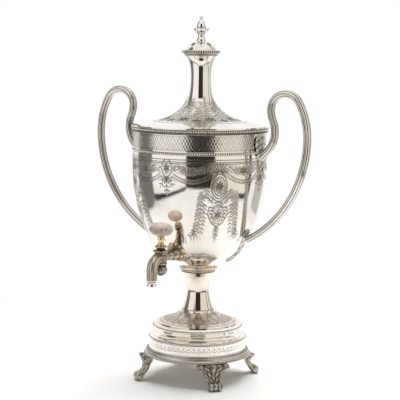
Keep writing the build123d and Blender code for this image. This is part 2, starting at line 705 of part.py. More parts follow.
def make_leaf():
    """The leaf on the frieze band, which also laps the top of the bowl."""
    top = z_joint + LEAF_ABOVE_JOINT - RIM_SKIRT
    length = LEAF_ABOVE_JOINT + LEAF_BELOW_JOINT - RIM_SKIRT
    plane = Plane(origin=(0, 0, top), x_dir=(0, 1, 0), z_dir=(1, 0, 0))
    cutter = plane * extrude(leaf_outline(LEAF_WIDTH, length), BOWL_RADIUS + 3 * LEAF_THICKNESS)
    skin = upright(band_radius + LEAF_THICKNESS, length, top - length)
    core = upright(band_radius, length, top - length)
    leaf = (cutter & skin) - core - bowl_solid
    strip = upright(band_radius + JOINT_STRIP_THICKNESS, JOINT_STRIP_HEIGHT, z_joint)
    return leaf - strip - pieces["joint_bead"]


def make_tongue():
    """The leaf tongue on the underside of the bowl, below the strap."""
    middle = bowl_curve() @ (LANDING_DEPTH + 0.02)
    slope = bowl_curve() % (LANDING_DEPTH + 0.02)
    outward = Vector(-slope.Z, 0, slope.X)
    plane = Plane(origin=middle - slope * (TONGUE_LENGTH * 0.3), x_dir=(0, 1, 0), z_dir=outward)
    outline = leaf_outline(TONGUE_WIDTH, TONGUE_LENGTH)
    cutter = plane * extrude(outline, 6 * TONGUE_THICKNESS, both=True)
    return (cutter & bowl_block(TONGUE_THICKNESS)) - bowl_solid


def make_tap():
    """The tap: escutcheon, body with its waterway, spout ring, shank washer and nut."""
    face = ESCUTCHEON_THICKNESS
    side_points = [bowl_curve() @ (step / 40) for step in range(41)]
    wall = max(point.X for point in side_points if point.Z < z_tap)
    shank_start = wall - SHANK_LENGTH
    skin = bowl_block(face)
    blank = along_tap(ESCUTCHEON_RADIUS, BOWL_FOOT_RADIUS, BOWL_RADIUS, z_tap)
    shank_hole = along_tap(SHANK_RADIUS, BOWL_FOOT_RADIUS, BOWL_RADIUS, z_tap)
    pieces["tap_escutcheon"] = (blank & skin) - bowl_solid - shank_hole
    housing_low = z_tap - HOUSING_BELOW
    housing = upright(HOUSING_RADIUS, HOUSING_BELOW + HOUSING_ABOVE, housing_low, 0, -TAP_REACH)
    swell = (wall + TAP_REACH) / 2
    inside = wall - ARM_INSIDE_BOWL
    arm_side = curve([
        (ARM_RADIUS, inside), (ARM_RADIUS, wall), (ARM_RADIUS, swell - ARM_SHOULDER),
        (0.6 * ARM_RADIUS + 0.4 * ARM_END_RADIUS, swell),
        (ARM_END_RADIUS, TAP_REACH - 1.25 * HOUSING_RADIUS), (ARM_END_RADIUS, TAP_REACH),
    ])
    ends = [(ARM_END_RADIUS, TAP_REACH), (0, TAP_REACH), (0, inside), (ARM_RADIUS, inside)]
    arm = turned([arm_side] + [line(a, b) for a, b in zip(ends, ends[1:])])
    arm = Pos(0, 0, z_tap) * Rot(90, 0, 0) * arm
    arm -= skin
    shank = along_tap(SHANK_RADIUS, shank_start, wall + ARM_RADIUS, z_tap)
    path = spout_path()
    tube = sweep(Plane(origin=path @ 0, z_dir=path % 0) * Circle(SPOUT_RADIUS), path=path)
    bore = sweep(Plane(origin=path @ 0, z_dir=path % 0) * Circle(WATERWAY_RADIUS), path=path)
    body = arm + shank + housing + tube
    body -= along_tap(WATERWAY_RADIUS, shank_start, TAP_REACH, z_tap)
    body -= bore
    bore_radius = PLUG_RADIUS + RUNNING_FIT
    body -= upright(bore_radius, HOUSING_BELOW + HOUSING_ABOVE, housing_low, 0, -TAP_REACH)
    pieces["tap_body"] = body
    reach = TAP_REACH + SPOUT_RUN + SPOUT_BEND_RADIUS
    ring_top = z_tap - SPOUT_DIP - SPOUT_BEND_RADIUS - SPOUT_DROP
    ring_low = ring_top - SPOUT_RING_HEIGHT
    bore_edge = WATERWAY_RADIUS
    wide = SPOUT_RING_RADIUS
    lip_top = ring_low + SPOUT_RING_LIP
    side = curve([
        (wide, lip_top), (SPOUT_RING_WAIST, ring_low + 0.4 * SPOUT_RING_HEIGHT),
        (SPOUT_RING_NECK, ring_top - SPOUT_RING_SHOULDER), (wide, ring_top),
    ])
    ends = [(wide, ring_top), (bore_edge, ring_top), (bore_edge, ring_low),
            (wide - SPOUT_RING_BEVEL, ring_low), (wide, lip_top)]
    ring = turned([side] + [line(a, b) for a, b in zip(ends, ends[1:])])
    pieces["tap_spout_ring"] = Pos(0, -reach, 0) * ring
    nut_end = shank_start + SHANK_NUT_LENGTH + SHANK_END_PAST_NUT
    washer = along_tap(SHANK_WASHER_RADIUS, nut_end, BOWL_RADIUS, z_tap) & bowl_space
    pieces["tap_shank_washer"] = washer - shank_hole
    nut = hexagon(SHANK_NUT_ACROSS_FLATS, SHANK_NUT_LENGTH, 0)
    nut = Pos(0, -(nut_end - SHANK_NUT_LENGTH), z_tap) * Rot(90, 0, 0) * nut
    nut_hole = along_tap(SHANK_RADIUS, shank_start - SHANK_NUT_LENGTH, nut_end, z_tap)
    pieces["tap_shank_nut"] = nut - shank_hole - nut_hole


def spout_path():
    """The spout's middle line, from the plug outwards and down."""
    start = Vector(0, -TAP_REACH, z_tap - SPOUT_DIP)
    bend = start + Vector(0, -SPOUT_RUN, 0)
    centre = bend + Vector(0, 0, -SPOUT_BEND_RADIUS)
    half = SPOUT_BEND_RADIUS * sqrt(0.5)
    mid = centre + Vector(0, -half, half)
    down = centre + Vector(0, -SPOUT_BEND_RADIUS, 0)
    return Wire([
        Edge.make_line(start, bend), Edge.make_three_point_arc(bend, mid, down),
        Edge.make_line(down, down + Vector(0, 0, -SPOUT_DROP)),
    ])


def make_key():
    """The turning part of the tap: plug, brass neck, knob, tail washer and tail nut."""
    centre = Pos(0, -TAP_REACH, 0)
    flange_low = z_tap + HOUSING_ABOVE + REST_GAP
    flange_top = flange_low + PLUG_FLANGE_HEIGHT
    ring_low = flange_top + PLUG_WAIST_HEIGHT
    ring_top = ring_low + PLUG_RING_HEIGHT
    washer_top = z_tap - HOUSING_BELOW - REST_GAP
    waist = PLUG_WAIST_RADIUS
    flange_edge = PLUG_FLANGE_RADIUS - PLUG_FLANGE_BEVEL
    ring_edge = PLUG_RING_RADIUS - PLUG_RING_BEVEL
    tail = TAIL_RADIUS
    plug = turned_outline([
        (0, washer_top - TAIL_LENGTH), (tail, washer_top - TAIL_LENGTH), (tail, washer_top),
        (PLUG_RADIUS, washer_top), (PLUG_RADIUS, flange_low), (flange_edge, flange_low),
        (PLUG_FLANGE_RADIUS, flange_low + PLUG_FLANGE_HEIGHT / 2), (flange_edge, flange_top),
        (waist, flange_top), (waist, ring_low), (ring_edge, ring_low),
        (PLUG_RING_RADIUS, ring_low + PLUG_RING_HEIGHT / 2), (ring_edge, ring_top), (0, ring_top),
    ])
    port = Pos(0, 0, z_tap) * Rot(0, 90, 0) * Cylinder(WATERWAY_RADIUS, 4 * PLUG_RADIUS)
    pieces["tap_plug"] = centre * (plug - port)
    neck_top = ring_top + KEY_NECK_HEIGHT
    slim = 0.72 * KEY_NECK_RADIUS
    side = curve([
        (KEY_NECK_RADIUS, ring_top), (slim, ring_top + 0.28 * KEY_NECK_HEIGHT),
        (0.94 * KEY_NECK_RADIUS, ring_top + 0.62 * KEY_NECK_HEIGHT), (slim, neck_top),
    ])
    stud_top = neck_top + KEY_STUD_LENGTH
    ends = [(slim, neck_top), (KEY_STUD_RADIUS, neck_top), (KEY_STUD_RADIUS, stud_top), (0, stud_top),
            (0, ring_top), (KEY_NECK_RADIUS, ring_top)]
    neck = turned([side] + [line(a, b) for a, b in zip(ends, ends[1:])])
    pieces["tap_key_neck"] = centre * neck
    knob = scale(Sphere(1), by=(KNOB_LENGTH / 2, KNOB_WIDTH / 2, KNOB_HEIGHT / 2))
    knob = Pos(0, 0, neck_top + KNOB_HEIGHT / 2 - KNOB_SINK) * knob
    knob -= upright(slim, KNOB_HEIGHT / 2, neck_top - KNOB_HEIGHT / 2)
    knob -= neck
    pieces["tap_knob"] = centre * knob
    washer_low = washer_top - TAIL_WASHER_THICKNESS
    pieces["tap_tail_washer"] = centre * turned_outline([
        (tail, washer_low), (TAIL_WASHER_RADIUS, washer_low), (TAIL_WASHER_RADIUS, washer_top),
        (tail, washer_top)])
    nut_low = washer_low - TAIL_NUT_HEIGHT
    bulb = curve([
        (0.70 * TAIL_NUT_RADIUS, washer_low), (TAIL_NUT_RADIUS, washer_low - 0.40 * TAIL_NUT_HEIGHT),
        (0.72 * TAIL_NUT_RADIUS, nut_low + 0.18 * TAIL_NUT_HEIGHT), (0.30 * TAIL_NUT_RADIUS, nut_low),
    ])
    ends = [(0.30 * TAIL_NUT_RADIUS, nut_low), (0, nut_low), (0, washer_low),
            (0.70 * TAIL_NUT_RADIUS, washer_low)]
    nut = turned([bulb] + [line(a, b) for a, b in zip(ends, ends[1:])])
    pieces["tap_tail_nut"] = centre * (nut - upright(tail, TAIL_LENGTH, washer_top - TAIL_LENGTH))


def make_heater():
    """The sleeve on the bowl's floor, its cover with a knob, and the iron inside it."""
    floor = z_bowl + WALL
    bore = sleeve_bore_radius
    flange_low = z_sleeve_top - SLEEVE_FLANGE_THICKNESS
    pieces["heater_sleeve"] = turned_outline([
        (0, floor), (SLEEVE_RADIUS, floor), (SLEEVE_RADIUS, flange_low), (SLEEVE_FLANGE_RADIUS, flange_low),
        (SLEEVE_FLANGE_RADIUS, z_sleeve_top), (bore, z_sleeve_top), (bore, floor + WALL), (0, floor + WALL),
    ])
    spigot = bore - SLIP_FIT
    spigot_low = z_sleeve_top - COVER_SPIGOT
    cover_top = z_sleeve_top + COVER_THICKNESS
    pieces["sleeve_cover"] = turned_outline([
        (0, z_sleeve_top), (spigot - WALL, z_sleeve_top), (spigot - WALL, spigot_low), (spigot, spigot_low),
        (spigot, z_sleeve_top), (COVER_RADIUS, z_sleeve_top), (COVER_RADIUS, cover_top - COVER_BEVEL),
        (COVER_RADIUS - COVER_BEVEL, cover_top), (0, cover_top),
    ])
    knob_top = cover_top + COVER_KNOB_HEIGHT
    knob = COVER_KNOB_RADIUS
    side = curve([
        (0.8 * knob, cover_top), (0.45 * knob, cover_top + 0.3 * COVER_KNOB_HEIGHT),
        (knob, cover_top + 0.7 * COVER_KNOB_HEIGHT), (0.5 * knob, knob_top),
    ])
    ends = [(0.5 * knob, knob_top), (0, knob_top), (0, cover_top), (0.8 * knob, cover_top)]
    pieces["sleeve_cover_knob"] = turned([side] + [line(a, b) for a, b in zip(ends, ends[1:])])
    low = floor + WALL
    high = low + IRON_LENGTH
    cut = IRON_CHAMFER
    pieces["heating_iron"] = turned_outline([
        (0, low), (IRON_RADIUS - cut, low), (IRON_RADIUS, low + cut), (IRON_RADIUS, high - cut),
        (IRON_RADIUS - cut, high), (0, high),
    ])
    eye = Pos(0, 0, high + EYE_RADIUS) * Rot(90, 0, 0) * Torus(EYE_RADIUS, EYE_WIRE)
    pieces["iron_eye"] = eye - pieces["heating_iron"]


make_plinth()
make_feet()
make_stem()
make_body()
make_lid()
make_handles()
make_tap()
make_key()
make_heater()

os.makedirs("parts", exist_ok=True)
for name, piece in pieces.items():
    export_step(piece, "parts/" + name + ".step")
print("nodes", len(pieces), "height", round(z_crown + FINIAL_HEIGHT, 1))
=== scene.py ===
import json
from math import atan2, cos, pi, radians, sin, sqrt, tau

import bmesh
import bpy
import numpy as np
from mathutils import Matrix, Vector


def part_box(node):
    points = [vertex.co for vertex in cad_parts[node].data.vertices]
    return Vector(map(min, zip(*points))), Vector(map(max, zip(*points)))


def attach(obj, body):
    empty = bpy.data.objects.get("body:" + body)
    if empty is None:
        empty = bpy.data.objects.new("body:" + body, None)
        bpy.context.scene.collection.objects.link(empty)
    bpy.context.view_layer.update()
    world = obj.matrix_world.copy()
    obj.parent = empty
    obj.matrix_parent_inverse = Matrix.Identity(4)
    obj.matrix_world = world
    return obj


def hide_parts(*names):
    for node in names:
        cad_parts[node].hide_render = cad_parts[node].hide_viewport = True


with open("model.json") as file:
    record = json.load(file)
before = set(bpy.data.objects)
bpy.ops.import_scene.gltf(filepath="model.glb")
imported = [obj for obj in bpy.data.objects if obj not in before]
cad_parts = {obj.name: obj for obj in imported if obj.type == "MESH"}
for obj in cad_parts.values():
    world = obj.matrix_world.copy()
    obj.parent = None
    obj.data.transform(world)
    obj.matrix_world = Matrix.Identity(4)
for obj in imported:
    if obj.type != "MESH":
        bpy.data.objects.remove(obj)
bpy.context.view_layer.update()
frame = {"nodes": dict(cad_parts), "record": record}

# All sizes below are in millimetres, in the row frame. MM turns them into Blender's metres.
MM = 0.001
WALL = 1.2
GROOVE = 0.16
BEAD_SIZE = 1.36
BEAD_STEP = 3.2
FINE_BEAD_SIZE = 1.15
FINE_BEAD_STEP = 2.8


def span(node):
    """A turned node's outer radius, lowest height and highest height."""
    low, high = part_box(node)
    return high.x / MM, low.z / MM, high.z / MM


def corners(node):
    """A node's lowest and highest corner."""
    low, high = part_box(node)
    return low / MM, high / MM


BOWL_RADIUS, Z_BOWL, Z_JOINT = span("bowl")
BAND_RADIUS, _, Z_BAND_TOP = span("frieze_band")
RIM_RADIUS, _, Z_RIM_TOP = span("rim_moulding")
LID_RADIUS, _, Z_LID_TOP = span("lid_shell")
STEM_FOOT_RADIUS, Z_TIER_TOP, Z_STEM_TOP = span("stem")
MOUTH_RADIUS = RIM_RADIUS - 5.4
BOWL_FOOT_RADIUS = 24.5
LID_NECK_RADIUS = 14.5
LID_TOP_RADIUS = 24.2
LID_BORE = 17.0
VENT_RADIUS = 15.0
VENT_TURN = 73.0
VENT_RISE = 12.0
STEM_WAIST = 15.5
STEM_TOP_RADIUS = 22.8
COLLAR_BEAD_RADIUS = 23.2
TIER_BORE = 48.5
PLINTH_BORE = 64.0

Z_TAP = Z_BOWL + 25.0
TAP_REACH = -(corners("tap_key_neck")[0].y + corners("tap_key_neck")[1].y) / 2
TAP_AXIS = (0.0, -TAP_REACH)
WATER_BORE = 4.0
HOUSING = 8.4

FOOT_REACH = 84.3
FOOT_TOP = 33.5
TOE = 6.0
TOE_CENTRE = 5.5
LUG_NEAR = 50.0
LUG_FAR = 70.5
LUG_HALF = 8.0
LUG_THICKNESS = 2.5
SCREW_CIRCLE = 55.0
SCREW_HOLE = 2.15

CAMERA_DISTANCE = 1747.0
CAMERA_HEIGHT = 453.3
CAMERA_TURN = 28.0
CAMERA_PITCH = 6.699
CAMERA_ROLL = 0.746
CAMERA_ASIDE = 1.27
LENS = 114.72

ROOM_LIGHT = 0.36
SOFTBOX_POWER = 60.0
WHITE = (1.0, 1.0, 1.0)
CREAM = (0.90, 0.87, 0.80)
SHADE = (0.035, 0.032, 0.028)
SLATE = (0.030, 0.036, 0.045)


# Shader nodes

def put(tree, socket, value):
    """Links another socket into this one, or gives this one a plain value or colour."""
    if isinstance(value, bpy.types.NodeSocket):
        tree.links.new(value, socket)
    elif socket.type == "RGBA":
        socket.default_value = (*value, 1.0)
    else:
        socket.default_value = value


def node(tree, kind, inputs=None, **settings):
    """Adds a shader node with its settings, and with its inputs by name or number."""
    made = tree.nodes.new("ShaderNode" + kind)
    for name, value in settings.items():
        setattr(made, name, value)
    for name, value in (inputs or {}).items():
        put(tree, made.inputs[name], value)
    return made


def frame_place(tree):
    """The row frame's own coordinates, in metres."""
    return node(tree, "TexCoord").outputs["Object"]


def point_layer(tree, name):
    """A value that the mesh holds for each of its points."""
    return node(tree, "Attribute", attribute_name=name).outputs["Fac"]


def ramp(tree, source, stops):
    """A colour ramp over a factor, from (position, value or colour) stops."""
    made = node(tree, "ValToRGB", {"Fac": source})
    elements = made.color_ramp.elements
    while len(elements) < len(stops):
        elements.new(0.5)
    for element, (position, value) in zip(elements, stops):
        element.position = position
        colour = value if isinstance(value, tuple) else (value, value, value)
        element.color = (*colour, 1.0)
    return made.outputs["Color"]


def noise(tree, scale, detail=4.0, stretch=(1, 1, 1), roughness=0.55):
    """Noise over the row frame's coordinates, in cycles per metre."""
    place = node(tree, "Mapping", {"Scale": stretch, "Vector": frame_place(tree)}).outputs["Vector"]
    inputs = {"Scale": scale, "Detail": detail, "Roughness": roughness, "Vector": place}
    return node(tree, "TexNoise", inputs).outputs["Fac"]


def mix(tree, factor, low, high):
    """Mixes two colours, each a tuple or a socket, by a socket."""
    return node(tree, "Mix", {"Factor": factor, 6: low, 7: high}, data_type="RGBA").outputs[2]


def calculate(tree, operation, first, second):
    """A sum on two values or sockets, kept between 0 and 1."""
    return node(tree, "Math", {0: first, 1: second}, operation=operation, use_clamp=True).outputs["Value"]


def new_material(name, values):
    """A material, its node tree and its shader, with plain values set on the shader."""
    material = bpy.data.materials.new(name)
    material.use_nodes = True
    tree = material.node_tree
    shader = tree.nodes["Principled BSDF"]
    for socket, value in values.items():
        put(tree, shader.inputs[socket], value)
    return material, tree, shader


def raise_grain(tree, shader, height, strength, distance):
    """Bumps a shader's surface by a height, with the distance in metres."""
    lift = node(tree, "Bump", {"Height": height, "Strength": strength, "Distance": distance})
    put(tree, shader.inputs["Normal"], lift.outputs["Normal"])


def chased_flecks(tree):
    """Small dark gaps between the bright leaves of finely chased ground."""
    cells = node(tree, "TexVoronoi", {"Scale": 430.0, "Vector": frame_place(tree)})
    return ramp(tree, cells.outputs["Distance"], [(0.36, 0.0), (0.62, 0.9)])


def near_spots(tree, shade_spots):
    """One near any of the given places, fading to nothing a little further out."""
    inner, outer = 2.5, 3.5
    place = frame_place(tree)
    nearest = 1.0
    for spot in shade_spots:
        away = node(tree, "VectorMath", {0: place, 1: Vector(spot) * MM}, operation="DISTANCE")
        nearest = calculate(tree, "MINIMUM", away.outputs["Value"], nearest)
    fade = node(tree, "MapRange", {"From Min": outer * MM, "From Max": inner * MM, "Value": nearest})
    return fade.outputs["Result"]


def metal(name, bright, dull, groove, rough, bump, wear=None, shade_spots=()):
    """Polished plate with tarnish in patches, dirt and painted shade in its grooves, recesses and slots, and
    fine hairlines from cleaning.
    """
    material, tree, shader = new_material(name, {"Metallic": 1.0})
    patches = ramp(tree, noise(tree, 23.0, 5.0), [(0.38, 0.0), (0.72, 1.0)])
    base = mix(tree, patches, bright, dull)
    if wear is not None:
        worn = ramp(tree, noise(tree, 70.0, 6.0), [(0.42, 0.0), (0.60, 1.0)])
        base = mix(tree, worn, base, wear)
    speckle = ramp(tree, noise(tree, 500.0, 3.0), [(0.30, 0.78), (0.70, 1.0)])
    # The dark layer holds dirt in grooves and creases, and painted shade behind beads, in recesses and in
    # holes.
    dirt_and_shade = calculate(tree, "MULTIPLY", point_layer(tree, "dark"), speckle)
    worked = point_layer(tree, "worked")
    flecks = calculate(tree, "MULTIPLY", worked, chased_flecks(tree))
    dirt_and_shade = calculate(tree, "MAXIMUM", dirt_and_shade, flecks)
    # Round each vent slot the cap is painted dark, as shade inside the slot.
    if shade_spots:
        dirt_and_shade = calculate(tree, "MAXIMUM", dirt_and_shade, near_spots(tree, shade_spots))
    base = mix(tree, calculate(tree, "MULTIPLY", worked, 0.55), base, dull)
    put(tree, shader.inputs["Base Color"], mix(tree, dirt_and_shade, base, groove))
    smear = ramp(tree, noise(tree, 38.0, 6.0, roughness=0.7), [(0.25, rough), (0.80, rough * 2.1)])
    gloss = calculate(tree, "ADD", smear, calculate(tree, "MULTIPLY", dirt_and_shade, 0.42))
    gloss = calculate(tree, "ADD", gloss, calculate(tree, "MULTIPLY", worked, 0.22))
    put(tree, shader.inputs["Roughness"], gloss)
    raise_grain(tree, shader, noise(tree, 260.0, 5.0, stretch=(1.0, 1.0, 7.0)), bump, 0.0004)
    return material


# Each metal's bright and dull face, the colour of the dirt and painted shade in its grooves, its roughness,
# its bump and its worn colour
METALS = {
    "silver_plate": ((0.91, 0.88, 0.83), (0.80, 0.74, 0.65), (0.085, 0.066, 0.045), 0.05, 0.05),
    "silver_soft": ((0.88, 0.84, 0.78), (0.72, 0.66, 0.57), (0.045, 0.036, 0.026), 0.11, 0.12),
    "cast_silver": ((0.74, 0.71, 0.66), (0.52, 0.48, 0.42), (0.035, 0.028, 0.022), 0.15, 0.16),
    "cast_worn": ((0.76, 0.70, 0.62), (0.60, 0.47, 0.34), (0.05, 0.032, 0.02), 0.15, 0.16,
                  (0.80, 0.57, 0.32)),
    "worn_plate": ((0.86, 0.80, 0.72), (0.74, 0.62, 0.50), (0.10, 0.06, 0.04), 0.10, 0.12,
                   (0.74, 0.56, 0.36)),
    "reeded_silver": ((0.84, 0.81, 0.76), (0.62, 0.58, 0.52), (0.035, 0.030, 0.023), 0.09, 0.01),
    "foot_silver": ((0.58, 0.53, 0.46), (0.36, 0.31, 0.25), (0.018, 0.013, 0.009), 0.17, 0.16),
    "tap_silver": ((0.64, 0.58, 0.49), (0.42, 0.35, 0.26), (0.022, 0.015, 0.010), 0.15, 0.12,
                   (0.56, 0.44, 0.30)),
    "vent_silver": ((0.90, 0.87, 0.82), (0.70, 0.65, 0.57), (0.012, 0.010, 0.008), 0.07, 0.05),
    "stem_plate": ((0.89, 0.84, 0.77), (0.78, 0.68, 0.57), (0.085, 0.066, 0.045), 0.05, 0.05,
                   (0.86, 0.74, 0.65)),
    "brass": ((0.83, 0.65, 0.36), (0.60, 0.42, 0.20), (0.10, 0.06, 0.03), 0.16, 0.12),
    "tinned_copper": ((0.66, 0.64, 0.61), (0.50, 0.45, 0.40), (0.15, 0.11, 0.09), 0.28, 0.2,
                      (0.62, 0.42, 0.31)),
    "iron": ((0.10, 0.095, 0.09), (0.16, 0.09, 0.055), (0.03, 0.025, 0.02), 0.42, 0.6, (0.20, 0.10, 0.05)),
}


def vent_slots():
    """The middle of each slot of the vent cap, round which the cap is painted dark as shade inside the slot.
    """
    turns = [radians(VENT_TURN + 90 * k) for k in range(4)]
    return [(VENT_RADIUS * cos(turn), VENT_RADIUS * sin(turn), Z_LID_TOP + VENT_RISE) for turn in turns]


def make_bone():
    """Pinkish, mottled bone or hardstone with a polished face."""
    material, tree, shader = new_material("knob_bone", {"Coat Weight": 0.4, "Coat Roughness": 0.08})
    cloud = ramp(tree, noise(tree, 95.0, 6.0, roughness=0.62), [
        (0.30, (0.46, 0.26, 0.19)), (0.43, (0.80, 0.56, 0.46)), (0.56, (0.93, 0.80, 0.72)),
        (0.70, (0.66, 0.45, 0.37))])
    fleck = ramp(tree, noise(tree, 420.0, 4.0), [(0.60, 0.0), (0.68, 1.0)])
    gloss = ramp(tree, noise(tree, 160.0, 3.0), [(0.3, 0.16), (0.8, 0.34)])
    put(tree, shader.inputs["Base Color"], mix(tree, fleck, cloud, (0.93, 0.88, 0.84)))
    put(tree, shader.inputs["Roughness"], gloss)
    raise_grain(tree, shader, noise(tree, 130.0, 5.0), 0.25, 0.0006)
    return material


def make_leather():
    """Greased leather with a fine grain."""
    material, tree, shader = new_material("leather", {})
    grain = noise(tree, 700.0, 6.0)
    colour = ramp(tree, grain, [(0.35, (0.10, 0.055, 0.03)), (0.65, (0.26, 0.16, 0.09))])
    put(tree, shader.inputs["Base Color"], colour)
    put(tree, shader.inputs["Roughness"], ramp(tree, noise(tree, 240.0), [(0.3, 0.45), (0.7, 0.7)]))
    raise_grain(tree, shader, grain, 0.5, 0.0003)
    return material


def make_materials():
    """The materials of the knob, the leather and each metal, by name."""
    made = {"knob_bone": make_bone(), "leather": make_leather()}
    for name, values in METALS.items():
        made[name] = metal(name, *values, shade_spots=vent_slots() if name == "vent_silver" else ())
    return made


materials = make_materials()


# Meshes

def lengths_along(points):
    """How far along a line each of its points lies."""
    return np.concatenate([[0.0], np.cumsum(np.linalg.norm(np.diff(points, axis=0), axis=1))])


def directions(points):
    """The unit direction of a line at each of its points."""
    along = np.gradient(points, axis=0)
    return along / np.maximum(np.linalg.norm(along, axis=1), 1e-9)[:, None]


def normals(points):
    """The unit normals on the left of a flat line."""
    ahead = directions(points)
    return np.stack([-ahead[:, 1], ahead[:, 0]], axis=1)


def offset(points, distance):
    """The same flat line moved to its right by a distance."""
    return points - normals(points) * distance


def smooth_line(points, count, start=None, end=None):
    """Evenly spaced points on a cubic spline through the given ones, with optional end directions."""
    knots = np.array(points, float)
    steps = np.linalg.norm(np.diff(knots, axis=0), axis=1)
    along = lengths_along(knots)
    size = len(knots)
    matrix = np.zeros((size, size))
    right = np.zeros((size, knots.shape[1]))
    for i in range(1, size - 1):
        a, b = steps[i - 1], steps[i]
        matrix[i, i - 1:i + 2] = (b, 2 * (a + b), a)
        right[i] = 3 * ((knots[i + 1] - knots[i]) * a / b + (knots[i] - knots[i - 1]) * b / a)
    for row, direction, inner, step in ((0, start, 1, 0), (size - 1, end, size - 2, -1)):
        if direction is None:
            matrix[row, row] = 2.0
            matrix[row, inner] = 1.0
            sign = 1 if row == 0 else -1
            right[row] = 3 * sign * (knots[inner] - knots[row]) / steps[step]
        else:
            matrix[row, row] = 1.0
            right[row] = np.array(direction, float) / np.linalg.norm(direction)
    slopes = np.linalg.solve(matrix, right)

    def at(places):
        index = np.clip(np.searchsorted(along, places, side="right") - 1, 0, size - 2)
        h = steps[index]
        t = (places - along[index]) / h
        h00 = 2 * t ** 3 - 3 * t ** 2 + 1
        h10 = t ** 3 - 2 * t ** 2 + t
        h01 = 1 - h00
        h11 = t ** 3 - t ** 2
        return (h00[:, None] * knots[index] + (h10 * h)[:, None] * slopes[index]
                + h01[:, None] * knots[index + 1] + (h11 * h)[:, None] * slopes[index + 1])

    fine = at(np.linspace(0, along[-1], 40 * size))
    lengths = lengths_along(fine)
    even = np.interp(np.linspace(0, lengths[-1], count), lengths, np.linspace(0, along[-1], 40 * size))
    return at(even)


def raised(profile, height):
    """A (radius, height) profile moved up."""
    return np.array(profile) + (0.0, height)


def add_piece(name, points, faces, material, body, nodes=(), dark=None, crease=38.0, worked=None):
    """Makes a mesh piece from points in millimetres, with its dirt and chasing, and seats it in the frame."""
    mesh = bpy.data.meshes.new(name)
    mesh.from_pydata((np.asarray(points, float) * MM).tolist(), [], faces)
    for layer_name, values in (("dark", dark), ("worked", worked)):
        if values is not None:
            layer = mesh.attributes.new(layer_name, "FLOAT", "POINT")
            layer.data.foreach_set("value", np.asarray(values, np.float32))
    mesh.validate()
    mesh.shade_smooth()
    mesh.set_sharp_from_angle(angle=radians(crease))
    piece = bpy.data.objects.new(name, mesh)
    bpy.context.scene.collection.objects.link(piece)
    piece.data.materials.append(materials[material])
    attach(piece, body)
    if nodes:
        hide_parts(*nodes)
    return piece


def grid_faces(rows, columns, wrap_rows, wrap_columns):
    """Quads over a grid of points, closed round in either direction."""
    i = np.arange(rows if wrap_rows else rows - 1)[:, None]
    j = np.arange(columns if wrap_columns else columns - 1)[None, :]
    under = (i + 1) % rows
    beside = (j + 1) % columns
    quads = [i * columns + j, under * columns + j, under * columns + beside, i * columns + beside]
    return np.stack(quads, axis=2).reshape(-1, 4).tolist()


def padded(values, rows, segments):
    """A grid that holds the given first rows, and nothing in the others."""
    grid = np.zeros((rows, segments))
    if values is not None:
        grid[:len(values)] = values
    return grid


def turned_points(profile, segments, relief=0.0, centre=(0.0, 0.0)):
    """A grid of points for a profile turned about an upright axis, with an inward relief."""
    profile = np.asarray(profile, float)
    turns = np.arange(segments) * tau / segments
    radius = np.repeat(profile[:, :1], segments, axis=1) - relief
    height = np.repeat(profile[:, 1:2], segments, axis=1)
    return np.stack([radius * np.cos(turns) + centre[0], radius * np.sin(turns) + centre[1], height], axis=2)


def turned(name, outside, inside, segments, material, body, nodes=(), relief=None, dark=None,
           crease=38.0, centre=(0.0, 0.0), worked=None):
    """A turned shell from an outside line going down and an inside line going back up, both open."""
    profile = np.concatenate([outside, inside])
    size = (len(profile), segments)
    points = turned_points(profile, segments, padded(relief, *size), centre)
    add_piece(name, points.reshape(-1, 3), grid_faces(*size, True, True), material, body, nodes,
              padded(dark, *size).reshape(-1), crease, padded(worked, *size).reshape(-1))


def turned_solid(name, profile, segments, material, body, nodes=(), relief=0.0, dark=None,
                 centre=(0.0, 0.0)):
    """A solid turned about an upright axis, from a line that starts and ends on it."""
    points = turned_points(profile, segments, relief, centre)
    on_axis = np.asarray(profile)[:, 0] <= 0.0
    points[on_axis] = points[on_axis].mean(axis=1, keepdims=True)
    size = (len(profile), segments)
    piece = add_piece(name, points.reshape(-1, 3), grid_faces(*size, False, True), material, body, nodes,
                      padded(dark, *size).reshape(-1), crease=40.0)
    merge_poles(piece)


def merge_poles(piece):
    """Joins the points that meet on a turned solid's axis."""
    work = bmesh.new()
    work.from_mesh(piece.data)
    bmesh.ops.remove_doubles(work, verts=work.verts, dist=1e-7)
    work.to_mesh(piece.data)
    work.free()


def ball(radius, rows=7, columns=10):
    """The points and faces of a small sphere."""
    points = [(0.0, 0.0, radius)]
    for tilt in np.arange(1, rows) * pi / rows:
        ring_radius, height = radius * sin(tilt), radius * cos(tilt)
        for turn in np.arange(columns) * tau / columns:
            points.append((ring_radius * cos(turn), ring_radius * sin(turn), height))
    points.append((0.0, 0.0, -radius))
    last = len(points) - 1
    lowest = last - columns
    around = [(j, (j + 1) % columns) for j in range(columns)]
    faces = [(0, 1 + j, 1 + k) for j, k in around]
    for low in range(1, lowest, columns):
        faces += [(low + j, low + columns + j, low + columns + k, low + k) for j, k in around]
    faces += [(lowest + j, last, lowest + k) for j, k in around]
    return np.array(points), faces


def joined(parts):
    """Several sets of points, faces and dirt as one."""
    faces = []
    start = 0
    for points, part_faces, _ in parts:
        faces += [[corner + start for corner in face] for face in part_faces]
        start += len(points)
    return np.concatenate([part[0] for part in parts]), faces, np.concatenate([part[2] for part in parts])


def mirrored(points, faces, side):
    """Points and faces as they are, or as their mirror image on the left where the side is negative."""
    if side > 0:
        return points, faces
    return points * np.array([-1, 1, 1]), [face[::-1] for face in faces]


